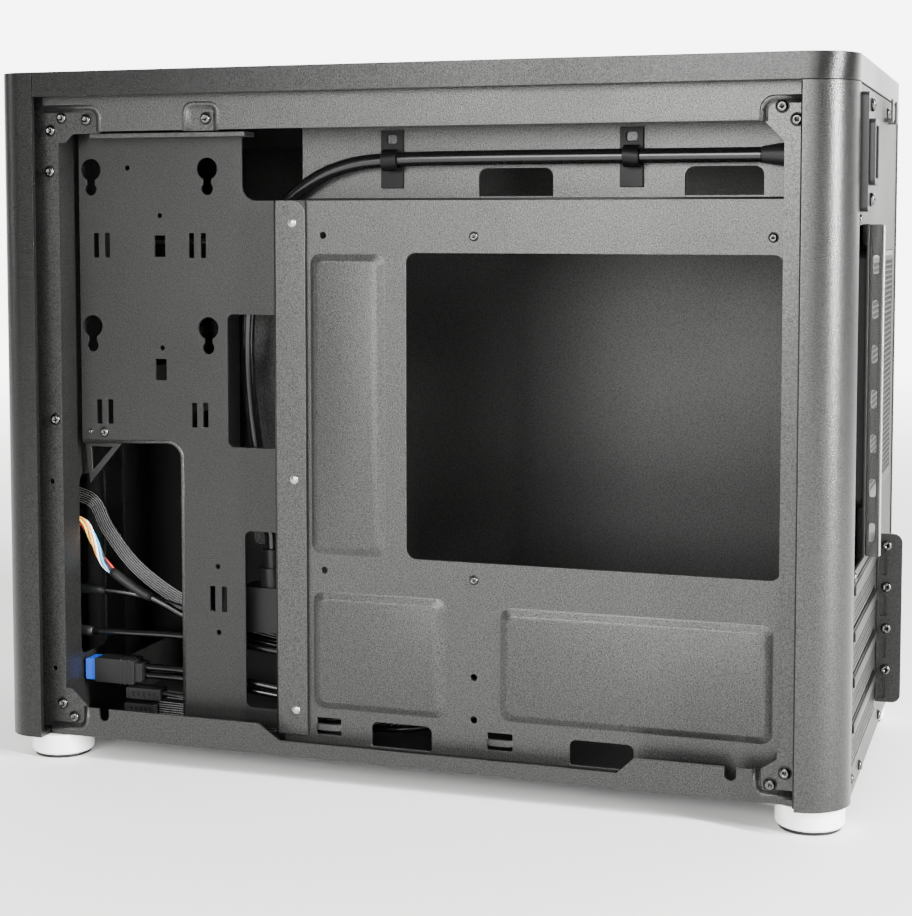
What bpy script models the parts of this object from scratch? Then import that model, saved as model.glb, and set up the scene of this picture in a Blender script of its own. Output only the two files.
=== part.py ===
"""An empty micro-ATX computer case, standing on its feet with the right side panel taken off.

Sizes are in millimetres until a mesh is made, and every mesh is in metres. +Z is up, the front faces -Y
and the open side faces +X. Three local measures place things the way a drawing of the case would:
inboard from the right side, forward from the rear face and up from the underside of the body.
"""

import math

import bmesh
import bpy
from mathutils import Vector

METRES = 0.001
GAP = 0.3

# The body.
WIDTH = 225.0
BODY_LENGTH = 407.0
BODY_HEIGHT = 322.0
BRACKET_REACH = 11.4
FOOT_HEIGHT = 12.0
RIGHT = WIDTH / 2
REAR = (BODY_LENGTH - BRACKET_REACH) / 2
SHEET = 1.2

# The aluminium covers.
COVER = 2.0
LIP = 11.6
REAR_RADIUS = 20.6
FRONT_RADIUS = 14.0
FRONT_SEAM = 386.0
FRONT_WALL = 3.0
POST_TOP = BODY_HEIGHT - LIP - GAP

# Depths inboard from the right side.
RAIL_DEPTH = 9.0
FLANGE_DEPTH = 10.5
STRIP_DEPTH = 18.0
TRAY_DEPTH = 20.0
DRIVE_DEPTH = 24.0
CHANNEL_DEPTH = 40.0
PSU_DEPTH = 62.0

# Heights and forward distances that several pieces share.
FRAME_FORWARD = 378.0
FRAME_FLANGE_END = 391.4
TRAY_TOP = 261.1
TRAY_FRONT = 265.5
RAIL_END = 22.8
CHASSIS_FRONT = 385.5
SLOT_PITCH = 20.32
SLOT_TOP_CENTRE = 84.5
SLOT_COUNT = 4
RIB_DEPTH = 72.5
BRACKET_DEPTH = 131.0
FAN_SIZE = 120.0
FAN_THICKNESS = 25.0
FAN_CENTRE = (138.0, 179.0)
FAN_BACK = 2.3
FAN_HUB_RADIUS = 20.5
FAN_BLADES = 9
INLET_CENTRE = (35.5, 281.0)
CORD_DEPTH = 33.9
CORD_HEIGHT = 280.5
CLIP_CORD_HEIGHT = 279.7
CORD_DIAMETER = 6.8
LEAD_DIAMETER = 3.4

# The front connectors sit in one column.
PORT_DEPTH = 30.0
BOARD_FORWARD = 393.0
BOARD_THICKNESS = 1.6
POWER_HEIGHT = 118.0
RESET_HEIGHT = 105.0

COLLECTION = bpy.context.scene.collection


def across(inboard):
    return RIGHT - inboard


def along(forward):
    return REAR - forward


def above(height):
    return FOOT_HEIGHT + height


# ---------------------------------------------------------------- outlines


def rounded(corners, radius, steps=4):
    """A closed outline whose corners are arcs. radius is one number, or one for each corner."""
    count = len(corners)
    radii = radius if isinstance(radius, (list, tuple)) else [radius] * count
    outline = []
    for i, corner in enumerate(corners):
        here = Vector(corner)
        if radii[i] <= 0:
            outline.append(tuple(here))
            continue
        back = (Vector(corners[i - 1]) - here).normalized()
        ahead = (Vector(corners[(i + 1) % count]) - here).normalized()
        half = back.angle(ahead) / 2
        centre = here + (back + ahead).normalized() * (radii[i] / math.sin(half))
        first = here + back * (radii[i] / math.tan(half)) - centre
        last = here + ahead * (radii[i] / math.tan(half)) - centre
        for step in range(steps + 1):
            share = step / steps
            arm = (first * (1 - share) + last * share).normalized() * radii[i]
            outline.append(tuple(centre + arm))
    return outline


def rectangle(low, high, radius=0.0, steps=4):
    corners = [(low[0], low[1]), (high[0], low[1]), (high[0], high[1]), (low[0], high[1])]
    return rounded(corners, radius, steps)


def circle(centre, radius, sides=24):
    turns = (2 * math.pi * i / sides for i in range(sides))
    return [(centre[0] + radius * math.cos(t), centre[1] + radius * math.sin(t)) for t in turns]


def side_view(points):
    """Forward distance and height, as a shape on a sheet that faces sideways."""
    return [(along(forward), above(height)) for forward, height in points]


def rear_view(points):
    """Inboard depth and height, as a shape on a sheet that faces the rear."""
    return [(across(inboard), above(height)) for inboard, height in points]


def plan_view(points):
    """Inboard depth and forward distance, as a shape seen from above."""
    return [(across(inboard), along(forward)) for inboard, forward in points]


def side_window(low, high, radius=0.0):
    return side_view(rectangle(low, high, radius))


def rear_window(low, high, radius=0.0):
    return rear_view(rectangle(low, high, radius))


# ---------------------------------------------------------------- solids


def prism(axis, low, high, outline, holes=()):
    """An outline pushed from low to high along an axis. The outline's two numbers are the other axes."""
    return {"axis": axis, "low": low, "high": high, "outline": outline, "holes": holes}


def through_side(outline, inboard, thickness):
    return prism("x", across(inboard + thickness), across(inboard), outline)


def through_rear(outline, forward, thickness):
    return prism("y", along(forward + thickness), along(forward), outline)


def upright(outline, low, high):
    return prism("z", above(low), above(high), outline)


def place(axis, level, pair):
    if axis == "x":
        return Vector((level, pair[0], pair[1]))
    if axis == "y":
        return Vector((pair[0], level, pair[1]))
    return Vector((pair[0], pair[1], level))


def add_prism(mesh, shape):
    edges = []
    for loop in [shape["outline"], *shape["holes"]]:
        points = [mesh.verts.new(place(shape["axis"], shape["low"], pair)) for pair in loop]
        ends = zip(points, points[1:] + points[:1])
        edges += [mesh.edges.new(pair) for pair in ends]
    filled = bmesh.ops.triangle_fill(mesh, edges=edges, use_beauty=True)
    faces = [item for item in filled["geom"] if isinstance(item, bmesh.types.BMFace)]
    pushed = bmesh.ops.extrude_face_region(mesh, geom=faces)
    moved = [item for item in pushed["geom"] if isinstance(item, bmesh.types.BMVert)]
    push = place(shape["axis"], shape["high"] - shape["low"], (0.0, 0.0))
    bmesh.ops.translate(mesh, verts=moved, vec=push)


def new_object(name, mesh, origin=(0.0, 0.0, 0.0)):
    """Turns a bmesh in millimetres into an object whose origin is where its joint or its place is."""
    bmesh.ops.recalc_face_normals(mesh, faces=mesh.faces)
    bmesh.ops.translate(mesh, verts=mesh.verts, vec=-Vector(origin))
    bmesh.ops.scale(mesh, verts=mesh.verts, vec=(METRES,) * 3)
    data = bpy.data.meshes.new(name)
    mesh.to_mesh(data)
    mesh.free()
    made = bpy.data.objects.new(name, data)
    made.location = Vector(origin) * METRES
    COLLECTION.objects.link(made)
    return made


def prisms_object(name, shapes, origin=(0.0, 0.0, 0.0)):
    mesh = bmesh.new()
    for shape in shapes:
        add_prism(mesh, shape)
    return new_object(name, mesh, origin)


def boolean(target, tool, operation):
    tool.hide_render = True
    tool.display_type = "WIRE"
    modifier = target.modifiers.new(tool.name, "BOOLEAN")
    modifier.operation = operation
    modifier.solver = "EXACT"
    modifier.object = tool


def piece(name, material, body, add=(), cut=(), origin=(0.0, 0.0, 0.0)):
    """One solid: a prism, with more prisms fused on and others cut away."""
    made = prisms_object(name, [body], origin)
    made.data.materials.append(material)
    if add:
        boolean(made, prisms_object(name + "_added", add), "UNION")
    if cut:
        boolean(made, prisms_object(name + "_cutter", cut), "DIFFERENCE")
    return made


def turned(name, material, profile, centre, axis="z", sides=28, origin=(0.0, 0.0, 0.0)):
    """A turned solid. The profile is (radius, distance along the axis), and its ends are capped flat."""
    mesh = bmesh.new()
    rings = []
    for radius, level in profile:
        ring = [mesh.verts.new(place(axis, level, pair)) for pair in circle(centre, radius, sides)]
        rings.append(ring)
    for low, high in zip(rings, rings[1:]):
        for i in range(sides):
            after = (i + 1) % sides
            mesh.faces.new((low[i], low[after], high[after], high[i]))
    mesh.faces.new(rings[0])
    mesh.faces.new(rings[-1])
    made = new_object(name, mesh, origin)
    made.data.materials.append(material)
    made.data.shade_smooth()
    made.data.set_sharp_from_angle(angle=math.radians(35))
    return made


def spline_points(route, spacing):
    """Evenly spaced points on a smooth curve through the route's own points."""
    route = [Vector(point) for point in route]
    ends = [2 * route[0] - route[1], *route, 2 * route[-1] - route[-2]]
    fine = []
    for before, start, end, after in zip(ends, ends[1:], ends[2:], ends[3:]):
        for step in range(24):
            t = step / 24
            fine.append(
                0.5
                * (
                    2 * start
                    + (end - before) * t
                    + (2 * before - 5 * start + 4 * end - after) * t * t
                    + (3 * start - before - 3 * end + after) * t * t * t
                )
            )
    fine.append(route[-1])
    lengths = [0.0]
    for start, end in zip(fine, fine[1:]):
        lengths.append(lengths[-1] + (end - start).length)
    count = max(2, round(lengths[-1] / spacing))
    points = []
    index = 0
    for i in range(count + 1):
        wanted = lengths[-1] * i / count
        while index < len(fine) - 2 and lengths[index + 1] < wanted:
            index += 1
        part = (wanted - lengths[index]) / (lengths[index + 1] - lengths[index])
        points.append(fine[index].lerp(fine[index + 1], part))
    return points


def cord(name, material, route, diameter):
    """A round cord. The route is forward distance, height and inboard depth at each of its points."""
    places = [(across(inboard), along(forward), above(height)) for forward, height, inboard in route]
    points = spline_points(places, 2.6 * diameter)
    data = bpy.data.curves.new(name, "CURVE")
    data.dimensions = "3D"
    data.bevel_depth = diameter / 2 * METRES
    data.bevel_resolution = 2
    data.use_fill_caps = True
    spline = data.splines.new("POLY")
    spline.points.add(len(points) - 1)
    for target, point in zip(spline.points, points):
        target.co = (*(point * METRES), 1.0)
    data.materials.append(material)
    made = bpy.data.objects.new(name, data)
    COLLECTION.objects.link(made)
    return made


def material(name, colour, roughness, metallic):
    made = bpy.data.materials.new(name)
    made.use_nodes = True
    shader = made.node_tree.nodes["Principled BSDF"]
    shader.inputs["Base Color"].default_value = (*colour, 1.0)
    shader.inputs["Roughness"].default_value = roughness
    shader.inputs["Metallic"].default_value = metallic
    return made


# ---------------------------------------------------------------- covers


def make_top_panel(metal):
    """A lid whose skirt runs down both sides and round the rear corners."""
    seam = FRONT_SEAM - GAP
    outer = rounded([(0, 0), (WIDTH, 0), (WIDTH, seam), (0, seam)], [REAR_RADIUS, REAR_RADIUS, 0, 0], 8)
    low, high = COVER, WIDTH - COVER
    inner_radius = REAR_RADIUS - COVER
    inner = rounded(
        [(low, low), (high, low), (high, seam + 5), (low, seam + 5)], [inner_radius, inner_radius, 0, 0], 8
    )
    body = upright(plan_view(outer), BODY_HEIGHT - LIP, BODY_HEIGHT)
    hollow = upright(plan_view(inner), BODY_HEIGHT - LIP - 5, BODY_HEIGHT - COVER)
    piece("top_panel", metal, body, cut=[hollow])


def make_front_panel(metal):
    """A deep pan with round front corners, open at the back, with the holes of the front connectors."""
    back = FRONT_SEAM
    front = BODY_LENGTH
    radii = [0, 0, FRONT_RADIUS, FRONT_RADIUS]
    outer = rounded([(0, back), (WIDTH, back), (WIDTH, front), (0, front)], radii, 8)
    wall = 2.5
    inner_front = front - FRONT_WALL
    inner_radii = [0, 0, FRONT_RADIUS - wall, FRONT_RADIUS - wall]
    inner = rounded(
        [(wall, back - 5), (WIDTH - wall, back - 5), (WIDTH - wall, inner_front), (wall, inner_front)],
        inner_radii,
        8,
    )
    body = upright(plan_view(outer), 0, BODY_HEIGHT)
    hollow = upright(plan_view(inner), wall, BODY_HEIGHT - wall)
    holes = [rear_view(circle((PORT_DEPTH, POWER_HEIGHT), 6.3))]
    holes.append(rear_view(circle((PORT_DEPTH, RESET_HEIGHT), 2.3, 16)))
    for height in USB_HEIGHTS:
        holes.append(rear_window((PORT_DEPTH - 3.3, height - 7), (PORT_DEPTH + 3.3, height + 7), 0.6))
    for height in JACK_HEIGHTS:
        holes.append(rear_view(circle((PORT_DEPTH, height), 4.3, 16)))
    cutters = [through_rear(hole, inner_front - 1, FRONT_WALL + 2) for hole in holes]
    made = piece("front_panel", metal, body, cut=[hollow])
    boolean(made, prisms_object("front_panel_holes", cutters), "DIFFERENCE")


def mirrored(points, mirror):
    """The same shape on the left side, when mirror is true."""
    return [(WIDTH - inboard, forward) for inboard, forward in points] if mirror else points


def make_rear_post(name, metal, mirror):
    """A quarter-round corner post, with a leg turned in at the seam and a flange turned forward."""
    outer = REAR_RADIUS
    inner = REAR_RADIUS - COVER
    sweep = [math.radians(90 * i / 10) for i in range(11)]
    shape = [(outer - outer * math.cos(a), outer - outer * math.sin(a)) for a in sweep]
    shape += [(outer - inner * math.cos(a), outer - inner * math.sin(a)) for a in reversed(sweep)]
    far = FLANGE_DEPTH + SHEET
    shape += [(far, outer), (far, outer + 10), (FLANGE_DEPTH, outer + 10), (FLANGE_DEPTH, outer + SHEET)]
    shape += [(0, outer + SHEET)]
    plates = [corner_plate(TOP_REAR_PLATE, [5, 3, 3, 1, 0, 0])]
    plates.append(corner_plate(BOTTOM_REAR_PLATE, [0, 3, 1, 2, 3, 3, 0]))
    piece(name, metal, upright(plan_view(mirrored(shape, mirror)), 0, POST_TOP), add=() if mirror else plates)


def make_left_side_panel(metal):
    """The panel that pulls straight off to the left, with its edges turned in."""
    low, high = GAP, POST_TOP - GAP
    skin, turn = 1.5, 6.0
    far = WIDTH
    outline = [(far, low), (far, high), (far - turn, high), (far - turn, high - skin)]
    outline += [(far - skin, high - skin), (far - skin, low + skin), (far - turn, low + skin)]
    outline += [(far - turn, low)]
    length = CHASSIS_FRONT - RAIL_END
    body = through_rear(rear_view(outline), RAIL_END, length)
    origin = (across(WIDTH), along(RAIL_END + length / 2), above((low + high) / 2))
    piece("left_side_panel", metal, body, origin=origin)


# ---------------------------------------------------------------- chassis


# Outlines of the four corner plates that the frame's right flanges widen into, clockwise from their top.
TOP_FRONT_PLATE = [(380, 305.3), (380, 288.8), (374.2, 288.8), (370.0, 293.0), (355.2, 293.0), (355.2, 305.3)]
TOP_REAR_PLATE = [(39.6, 303.3), (39.6, 294.4), (31.9, 286.7), (29.0, 282.0), (24, 282.0), (24, 303.3)]
BOTTOM_FRONT_PLATE = [(380, 22.8), (374.9, 22.8), (366.1, 14.5), (366.1, 3.9), (380, 3.9)]
BOTTOM_REAR_PLATE = [(24, 20.0), (29.2, 20.0), (38.6, 13.8), (40.8, 12.6), (38.2, 6.2), (35.0, 3.9), (24, 3.9)]


def corner_plate(outline, radii):
    return through_side(side_view(rounded(outline, radii)), FLANGE_DEPTH, SHEET)


def rail_windows(low, high, radius):
    """A cut-out in a right-hand rail that lets a corner plate show."""
    return through_side(side_window(low, high, radius), RAIL_DEPTH - 1, 2.3)


def make_bottom_chassis(metal):
    """A channel: the floor sheet with a rail turned up along each side."""
    rail_top = 14.4
    middle_top = 7.0
    far = WIDTH - RAIL_DEPTH
    inner, inner_far = RAIL_DEPTH + SHEET, far - SHEET
    outline = [(RAIL_DEPTH, 0), (far, 0), (far, rail_top), (inner_far, rail_top), (inner_far, SHEET)]
    outline += [(inner, SHEET), (inner, rail_top), (RAIL_DEPTH, rail_top)]
    body = through_rear(rear_view(outline), RAIL_END, CHASSIS_FRONT - RAIL_END)
    corner = REAR_RADIUS + 1.0
    tongue = rectangle((corner, 2.3), (WIDTH - corner, RAIL_END + 5))
    dip = [(274.5, 30), (274.5, rail_top), (263.8, middle_top), (101.1, middle_top), (93.4, rail_top)]
    dip += [(93.4, 30)]
    cutters = [through_side(side_view(dip), RAIL_DEPTH - 1, 4)]
    post_slot = rectangle((FLANGE_DEPTH - 0.2, RAIL_END - 1), (FLANGE_DEPTH + SHEET + GAP, RAIL_END + 8.4))
    for mirror in (False, True):
        cutters.append(upright(plan_view(mirrored(post_slot, mirror)), -1, 3))
    for forward in (356.5, 50.5):
        slot = rounded(
            [(forward - 2.6, 30), (forward - 2.6, 8.4), (forward + 2.6, 8.4), (forward + 2.6, 30)],
            [0, 2.4, 2.4, 0],
        )
        cutters.append(through_side(side_view(slot), RAIL_DEPTH - 1, 4))
    cutters.append(rail_windows((366.1, 3.9), (392, 40), 4.5))
    cutters.append(rail_windows((10, 3.9), (39.6, 40), 4.5))
    piece("bottom_chassis", metal, body, add=[upright(plan_view(tongue), 0, SHEET)], cut=cutters)


def make_top_chassis(metal):
    """The same channel upside down, under the lid."""
    top, rail_bottom = 318.8, 294.0
    far = WIDTH - RAIL_DEPTH
    inner, inner_far = RAIL_DEPTH + SHEET, far - SHEET
    outline = [(RAIL_DEPTH, rail_bottom), (inner, rail_bottom), (inner, top - SHEET), (inner_far, top - SHEET)]
    outline += [(inner_far, rail_bottom), (far, rail_bottom), (far, top), (RAIL_DEPTH, top)]
    body = through_rear(rear_view(outline), RAIL_END, CHASSIS_FRONT - RAIL_END)
    cutters = [rail_windows((355.2, 280), (392, 305.3), 5.0), rail_windows((10, 280), (39.6, 303.3), 5.0)]
    cutters.append(rail_windows((293.7, 280), (309.6, 305.7), 3.5))
    piece("top_chassis", metal, body, cut=cutters)


def make_front_frame(metal):
    """The sheet behind the front panel, with its edges turned forward and three openings."""
    back, front = FRAME_FORWARD, FRAME_FLANGE_END
    near, far = FLANGE_DEPTH, WIDTH - FLANGE_DEPTH
    outline = [(near, back), (far, back), (far, front), (far - SHEET, front)]
    outline += [(far - SHEET, back + SHEET), (near + SHEET, back + SHEET), (near + SHEET, front)]
    outline += [(near, front)]
    windows = [rear_window((72, low), (192, low + 120), 8) for low in (24, 174)]
    windows.append(rear_window((26, 36), (52, 126), 4))
    cutters = [through_rear(window, back - 2, 6) for window in windows]
    for height in (32.2, 124.6):
        cutters.append(through_side(side_view(circle((384.0, height), 1.3, 12)), near - 1, 4))
    body = upright(plan_view(outline), 2.8, 317.3)
    plates = [corner_plate(TOP_FRONT_PLATE, [0, 0, 0, 2, 2, 5])]
    plates.append(corner_plate(BOTTOM_FRONT_PLATE, [0, 3, 3, 4, 0]))
    piece("front_frame", metal, body, add=plates, cut=cutters)


def keyhole(forward, height):
    """A big round hole with a narrow slot and a small round end below it."""
    outline = []
    for i in range(19):
        turn = math.radians(-66 + 312 * i / 18)
        outline.append((forward + 5.4 * math.cos(turn), height + 5.4 * math.sin(turn)))
    for i in range(13):
        turn = math.radians(134 + 272 * i / 12)
        outline.append((forward + 3.1 * math.cos(turn), height - 9.4 + 3.1 * math.sin(turn)))
    return outline


def make_drive_plate(metal):
    """The drive mounting plate. Its rear edge steps out over the tray, where it is riveted."""
    near, far = DRIVE_DEPTH, DRIVE_DEPTH + SHEET
    front, step, strip_end = 374.7, 268.1, 253.1
    turn = 7.0
    outline = [(near, front), (near, step), (STRIP_DEPTH, step), (STRIP_DEPTH, strip_end)]
    outline += [(STRIP_DEPTH + SHEET, strip_end), (STRIP_DEPTH + SHEET, step - SHEET), (far, step - SHEET)]
    outline += [(far, front - SHEET), (near + turn, front - SHEET), (near + turn, front)]
    body = upright(plan_view(outline), 8, 293.6)
    lower_opening = [(380, 0), (380, 142.3), (321.2, 144), (321.2, 0)]
    top_corner = [(287.7, 300), (287.7, 261.0), (250, 261.0), (250, 300)]
    windows = [
        rounded(lower_opening, [0, 0, 7, 0]),
        rounded(top_corner, [0, 7, 0, 0]),
        rectangle((269.6, 143.3), (296, 207.1), 3),
        rectangle((269.6, 17.5), (287.5, 103.2), 3),
    ]
    for forward in (305.9, 368.2):
        windows += [keyhole(forward, 276.2), keyhole(forward, 200.1)]
    for height in (239.3, 179.7):
        windows.append(rectangle((328.3, height - 5.2), (334.2, height + 5.2), 0.3))
    for forward, height in ((365.6, 239.6), (359.6, 239.7), (314.4, 239.7), (308.2, 239.7)):
        windows.append(rectangle((forward - 1.4, height - 6), (forward + 1.4, height + 6), 0.5))
    for forward, height in ((365.0, 158.2), (358.9, 158.4), (313.6, 158.1), (307.7, 158.3)):
        windows.append(rectangle((forward - 1.4, height - 6), (forward + 1.4, height + 6), 0.5))
    for forward in (304.9, 298.7):
        windows.append(rectangle((forward - 1.4, 63), (forward + 1.4, 75.4), 0.5))
    for place_of_hole in ((348.3, 277.0), (331.2, 254.0), (330.4, 190.2), (302.0, 85.1), (301.8, 52.9)):
        windows.append(circle(place_of_hole, 1.3, 12))
    cutters = [through_side(side_view(window), STRIP_DEPTH - 2, 18) for window in windows]
    piece("drive_plate", metal, body, cut=cutters)


def make_motherboard_tray(metal):
    """The tray: the cooler cut-out, two cable cut-outs, two cable-tie bridges and a shelf turned in on top."""
    outline = rectangle((3.2, 4), (TRAY_FRONT, TRAY_TOP), 1.0, 2)
    windows = [rectangle((31.4, 95.3), (204, 236.8), 4.5)]
    for low, high in ((191.7, 221.3), (96.0, 125.5)):
        windows.append(rounded([(low, 5.4), (high, 5.4), (high, 16.8), (low, 16.8)], [1, 1, 3, 3]))
    for forward, height in ((245.0, 244.8), (245.0, 87.4), (171.2, 41.9), (171.2, 22.0)):
        windows.append(circle((forward, height), 1.6, 12))
    for low, high in ((236.9, 249.0), (152.6, 164.5)):
        windows.append(rectangle((low, 8.8), (high, 11.0), 0.3, 1))
        windows.append(rectangle((low, 13.8), (high, 16.8), 0.3, 1))
    holes = [side_view(window) for window in windows]
    body = prism("x", across(TRAY_DEPTH + SHEET), across(TRAY_DEPTH), side_view(outline), holes)
    shelf = plan_view(rectangle((TRAY_DEPTH, 3.2), (CHANNEL_DEPTH - GAP, 255)))
    piece("motherboard_tray", metal, body, add=[upright(shelf, TRAY_TOP - SHEET, TRAY_TOP)])


def make_channel_plate(metal):
    """The back wall of the cord channel above the tray, with two cable holes."""
    bottom = TRAY_TOP - SHEET
    outline = rectangle((24, bottom), (263.5, 317.3))
    windows = []
    for low, high in ((139.7, 175.1), (43.6, 78.6)):
        windows.append(
            side_view(rounded([(low, 263), (high, 263), (high, 275.7), (low, 275.7)], [0, 0, 4, 4]))
        )
    low, high = across(CHANNEL_DEPTH + SHEET), across(CHANNEL_DEPTH)
    piece("channel_plate", metal, prism("x", low, high, side_view(outline), windows))


def make_psu_bracket(metal):
    """The power supply's support: a level frame in the front bay and an upright leg beside it."""
    low = 240.0
    frame = plan_view(rectangle((PSU_DEPTH, 284), (212, 377.5)))
    window = plan_view(rectangle((68, 290), (206, 371), 4))
    leg = side_view(rectangle((264, 90), (300, low + SHEET), 3))
    body = prism("z", above(low), above(low + SHEET), frame, [window])
    piece("psu_bracket", metal, body, add=[through_side(leg, PSU_DEPTH, SHEET)])


def make_standoffs(brass):
    places = [(36.1, 244.5), (171.2, 244.5), (171.2, 87.2), (16.1, 87.2)]
    for number, (forward, height) in enumerate(places, 1):
        centre = (along(forward), above(height))
        start = across(TRAY_DEPTH + SHEET + GAP)
        profile = [(2.9, start - 6.5), (2.9, start)]
        turned(f"standoff_{number}", brass, profile, centre, "x", 6)


# ---------------------------------------------------------------- rear wall


def make_rear_plate(metal):
    """The rear wall between the posts, with the board's opening, inlet, fan and card openings."""
    corner = REAR_RADIUS + 0.4
    outline = rear_view(rectangle((corner, GAP), (WIDTH - corner, POST_TOP)))
    half = FAN_SIZE / 2 - 2
    holes = [
        rear_window((28, 99), (RIB_DEPTH - 0.5, 250), 1),
        rear_window((INLET_CENTRE[0] - 8.6, INLET_CENTRE[1] - 14.2), (INLET_CENTRE[0] + 8.6, 295.2), 1),
        rear_window((FAN_CENTRE[0] - half, 121), (FAN_CENTRE[0] + half, 237), 6),
        rear_window((28.7, 13.2), (130.3, 95.2), 1),
    ]
    piece("rear_plate", metal, prism("y", along(2.0), along(0.8), outline, holes))


def make_rear_fan_grille(metal):
    half = FAN_SIZE / 2 - 2 - GAP
    low = (FAN_CENTRE[0] - half, FAN_CENTRE[1] - half)
    high = (FAN_CENTRE[0] + half, FAN_CENTRE[1] + half)
    piece("rear_fan_grille", metal, prism("y", along(2.0), along(0.8), rear_window(low, high, 5.7)))


def angle_bracket(inboard, foot, reach):
    """An L seen from above: a foot on the rear wall and a leaf that stands out from it."""
    out = 0.8 - GAP
    shape = [(inboard, out), (inboard, -reach), (inboard + SHEET, -reach), (inboard + SHEET, out - SHEET)]
    shape += [(inboard + SHEET + foot, out - SHEET), (inboard + SHEET + foot, out)]
    return plan_view(shape)


def make_io_opening_rib(metal):
    """The stiffening rib beside the board's opening, with a row of windows one card pitch apart."""
    windows = []
    for i in range(7):
        height = 110.0 + SLOT_PITCH * i
        windows.append(rectangle((-3.7, height - 4.2), (-1.1, height + 4.2), 1.1))
    cutters = [through_side(side_view(window), RIB_DEPTH - 2, 5) for window in windows]
    piece("io_opening_rib", metal, upright(angle_bracket(RIB_DEPTH, 4, 5.2), 99, 250), cut=cutters)


def make_slot_bracket(metal):
    """The bracket that the expansion cards are screwed to, outside the rear wall."""
    low, high, seat = 17.0, 100.0, 0.8 - GAP
    windows = [circle((-4.2, height), 1.8, 16) for height in SLOT_SCREW_HEIGHTS]
    for height in SLOT_SCREW_HEIGHTS:
        windows.append(rectangle((-4.2, height - 14.4), (-0.4, height - 3.8), 1.3))
    cutters = [through_side(side_view(window), BRACKET_DEPTH - 2, 5) for window in windows]
    corners = [(seat, low), (seat, high), (-BRACKET_REACH, high), (-BRACKET_REACH, low)]
    leaf = side_view(rounded(corners, [0, 0, 4, 4]))
    foot = rear_window((BRACKET_DEPTH + 0.4, low), (BRACKET_DEPTH + 13, high))
    body = through_side(leaf, BRACKET_DEPTH, SHEET)
    piece("slot_bracket", metal, body, add=[through_rear(foot, seat - SHEET, SHEET)], cut=cutters)


def make_slot_covers(metal):
    for number in range(SLOT_COUNT):
        centre = SLOT_TOP_CENTRE - SLOT_PITCH * number
        outline = rear_window((29.2, centre - 8.9), (129.8, centre + 8.9), 1)
        piece(f"slot_cover_{number + 1}", metal, prism("y", along(2.0), along(0.8), outline))


def make_slot_screws(steel):
    """Pan-head screws driven from the right, with their ends standing out behind the bracket."""
    for number, height in enumerate(SLOT_SCREW_HEIGHTS, 1):
        seat = across(BRACKET_DEPTH - GAP)
        profile = [(1.0, seat - 6.8), (1.45, seat - 6.2), (1.45, seat), (3.2, seat), (3.2, seat + 1.4)]
        profile += [(2.0, seat + 2.2)]
        turned(f"slot_screw_{number}", steel, profile, (along(-4.2), above(height)), "x", 14)


def make_fan_frame(plastic):
    """A 120 mm fan's square frame, with four struts that carry the motor plate next to the rear wall."""
    inboard, height = FAN_CENTRE
    half = FAN_SIZE / 2
    outer = rear_window((inboard - half, height - half), (inboard + half, height + half), 6)
    bore = rear_view(circle(FAN_CENTRE, 57.5, 48))
    body = prism("y", along(FAN_BACK + FAN_THICKNESS), along(FAN_BACK), outer, [bore])
    struts = []
    for quarter in range(4):
        turn = math.radians(45 + 90 * quarter)
        out = Vector((math.cos(turn), math.sin(turn)))
        side = Vector((-math.sin(turn), math.cos(turn))) * 2.5
        corners = [out * 19 - side, out * 58.5 - side, out * 58.5 + side, out * 19 + side]
        strut = [(inboard + corner.x, height + corner.y) for corner in corners]
        struts.append(through_rear(rear_view(strut), FAN_BACK + 0.2, 3.4))
    made = piece("fan_frame", plastic, body, add=struts)
    plate = through_rear(rear_view(circle(FAN_CENTRE, FAN_HUB_RADIUS, 32)), FAN_BACK, 4)
    boolean(made, prisms_object("fan_motor_plate", [plate]), "UNION")


def add_fan_blade(mesh, base_turn):
    """One twisted blade, as four-cornered sections from inside the hub to the tip."""
    inner, tip, thickness, sections = 17.0, 55.0, 1.6, 6
    centre = Vector((across(FAN_CENTRE[0]), along(FAN_BACK + 15.2), above(FAN_CENTRE[1])))
    rings = []
    for i in range(sections):
        share = i / (sections - 1)
        radius = inner + (tip - inner) * share
        lean = math.radians(52 - 20 * share)
        half_chord = 8.5 + 4.5 * share
        ring = []
        for side, edge in ((-1, -1), (1, -1), (1, 1), (-1, 1)):
            tangent = edge * half_chord * math.cos(lean) + side * thickness / 2 * math.sin(lean)
            axial = edge * half_chord * math.sin(lean) - side * thickness / 2 * math.cos(lean)
            turn = base_turn + 0.35 * share + tangent / radius
            arm = Vector((radius * math.cos(turn), axial * 0.72, radius * math.sin(turn)))
            ring.append(mesh.verts.new(centre + arm))
        rings.append(ring)
    for low, high in zip(rings, rings[1:]):
        for i in range(4):
            after = (i + 1) % 4
            mesh.faces.new((low[i], low[after], high[after], high[i]))
    mesh.faces.new(rings[0])
    mesh.faces.new(rings[-1])


def make_fan_rotor(plastic):
    hub_back = FAN_BACK + 4.6
    hub_front = FAN_BACK + FAN_THICKNESS - 0.6
    hub = rear_view(circle(FAN_CENTRE, FAN_HUB_RADIUS, 32))
    origin = (across(FAN_CENTRE[0]), along(FAN_BACK + 15), above(FAN_CENTRE[1]))
    made = piece("fan_rotor", plastic, through_rear(hub, hub_back, hub_front - hub_back), origin=origin)
    blades = bmesh.new()
    for number in range(FAN_BLADES):
        add_fan_blade(blades, 2 * math.pi * number / FAN_BLADES)
    boolean(made, new_object("fan_blades", blades), "UNION")


# ---------------------------------------------------------------- mains lead


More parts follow.
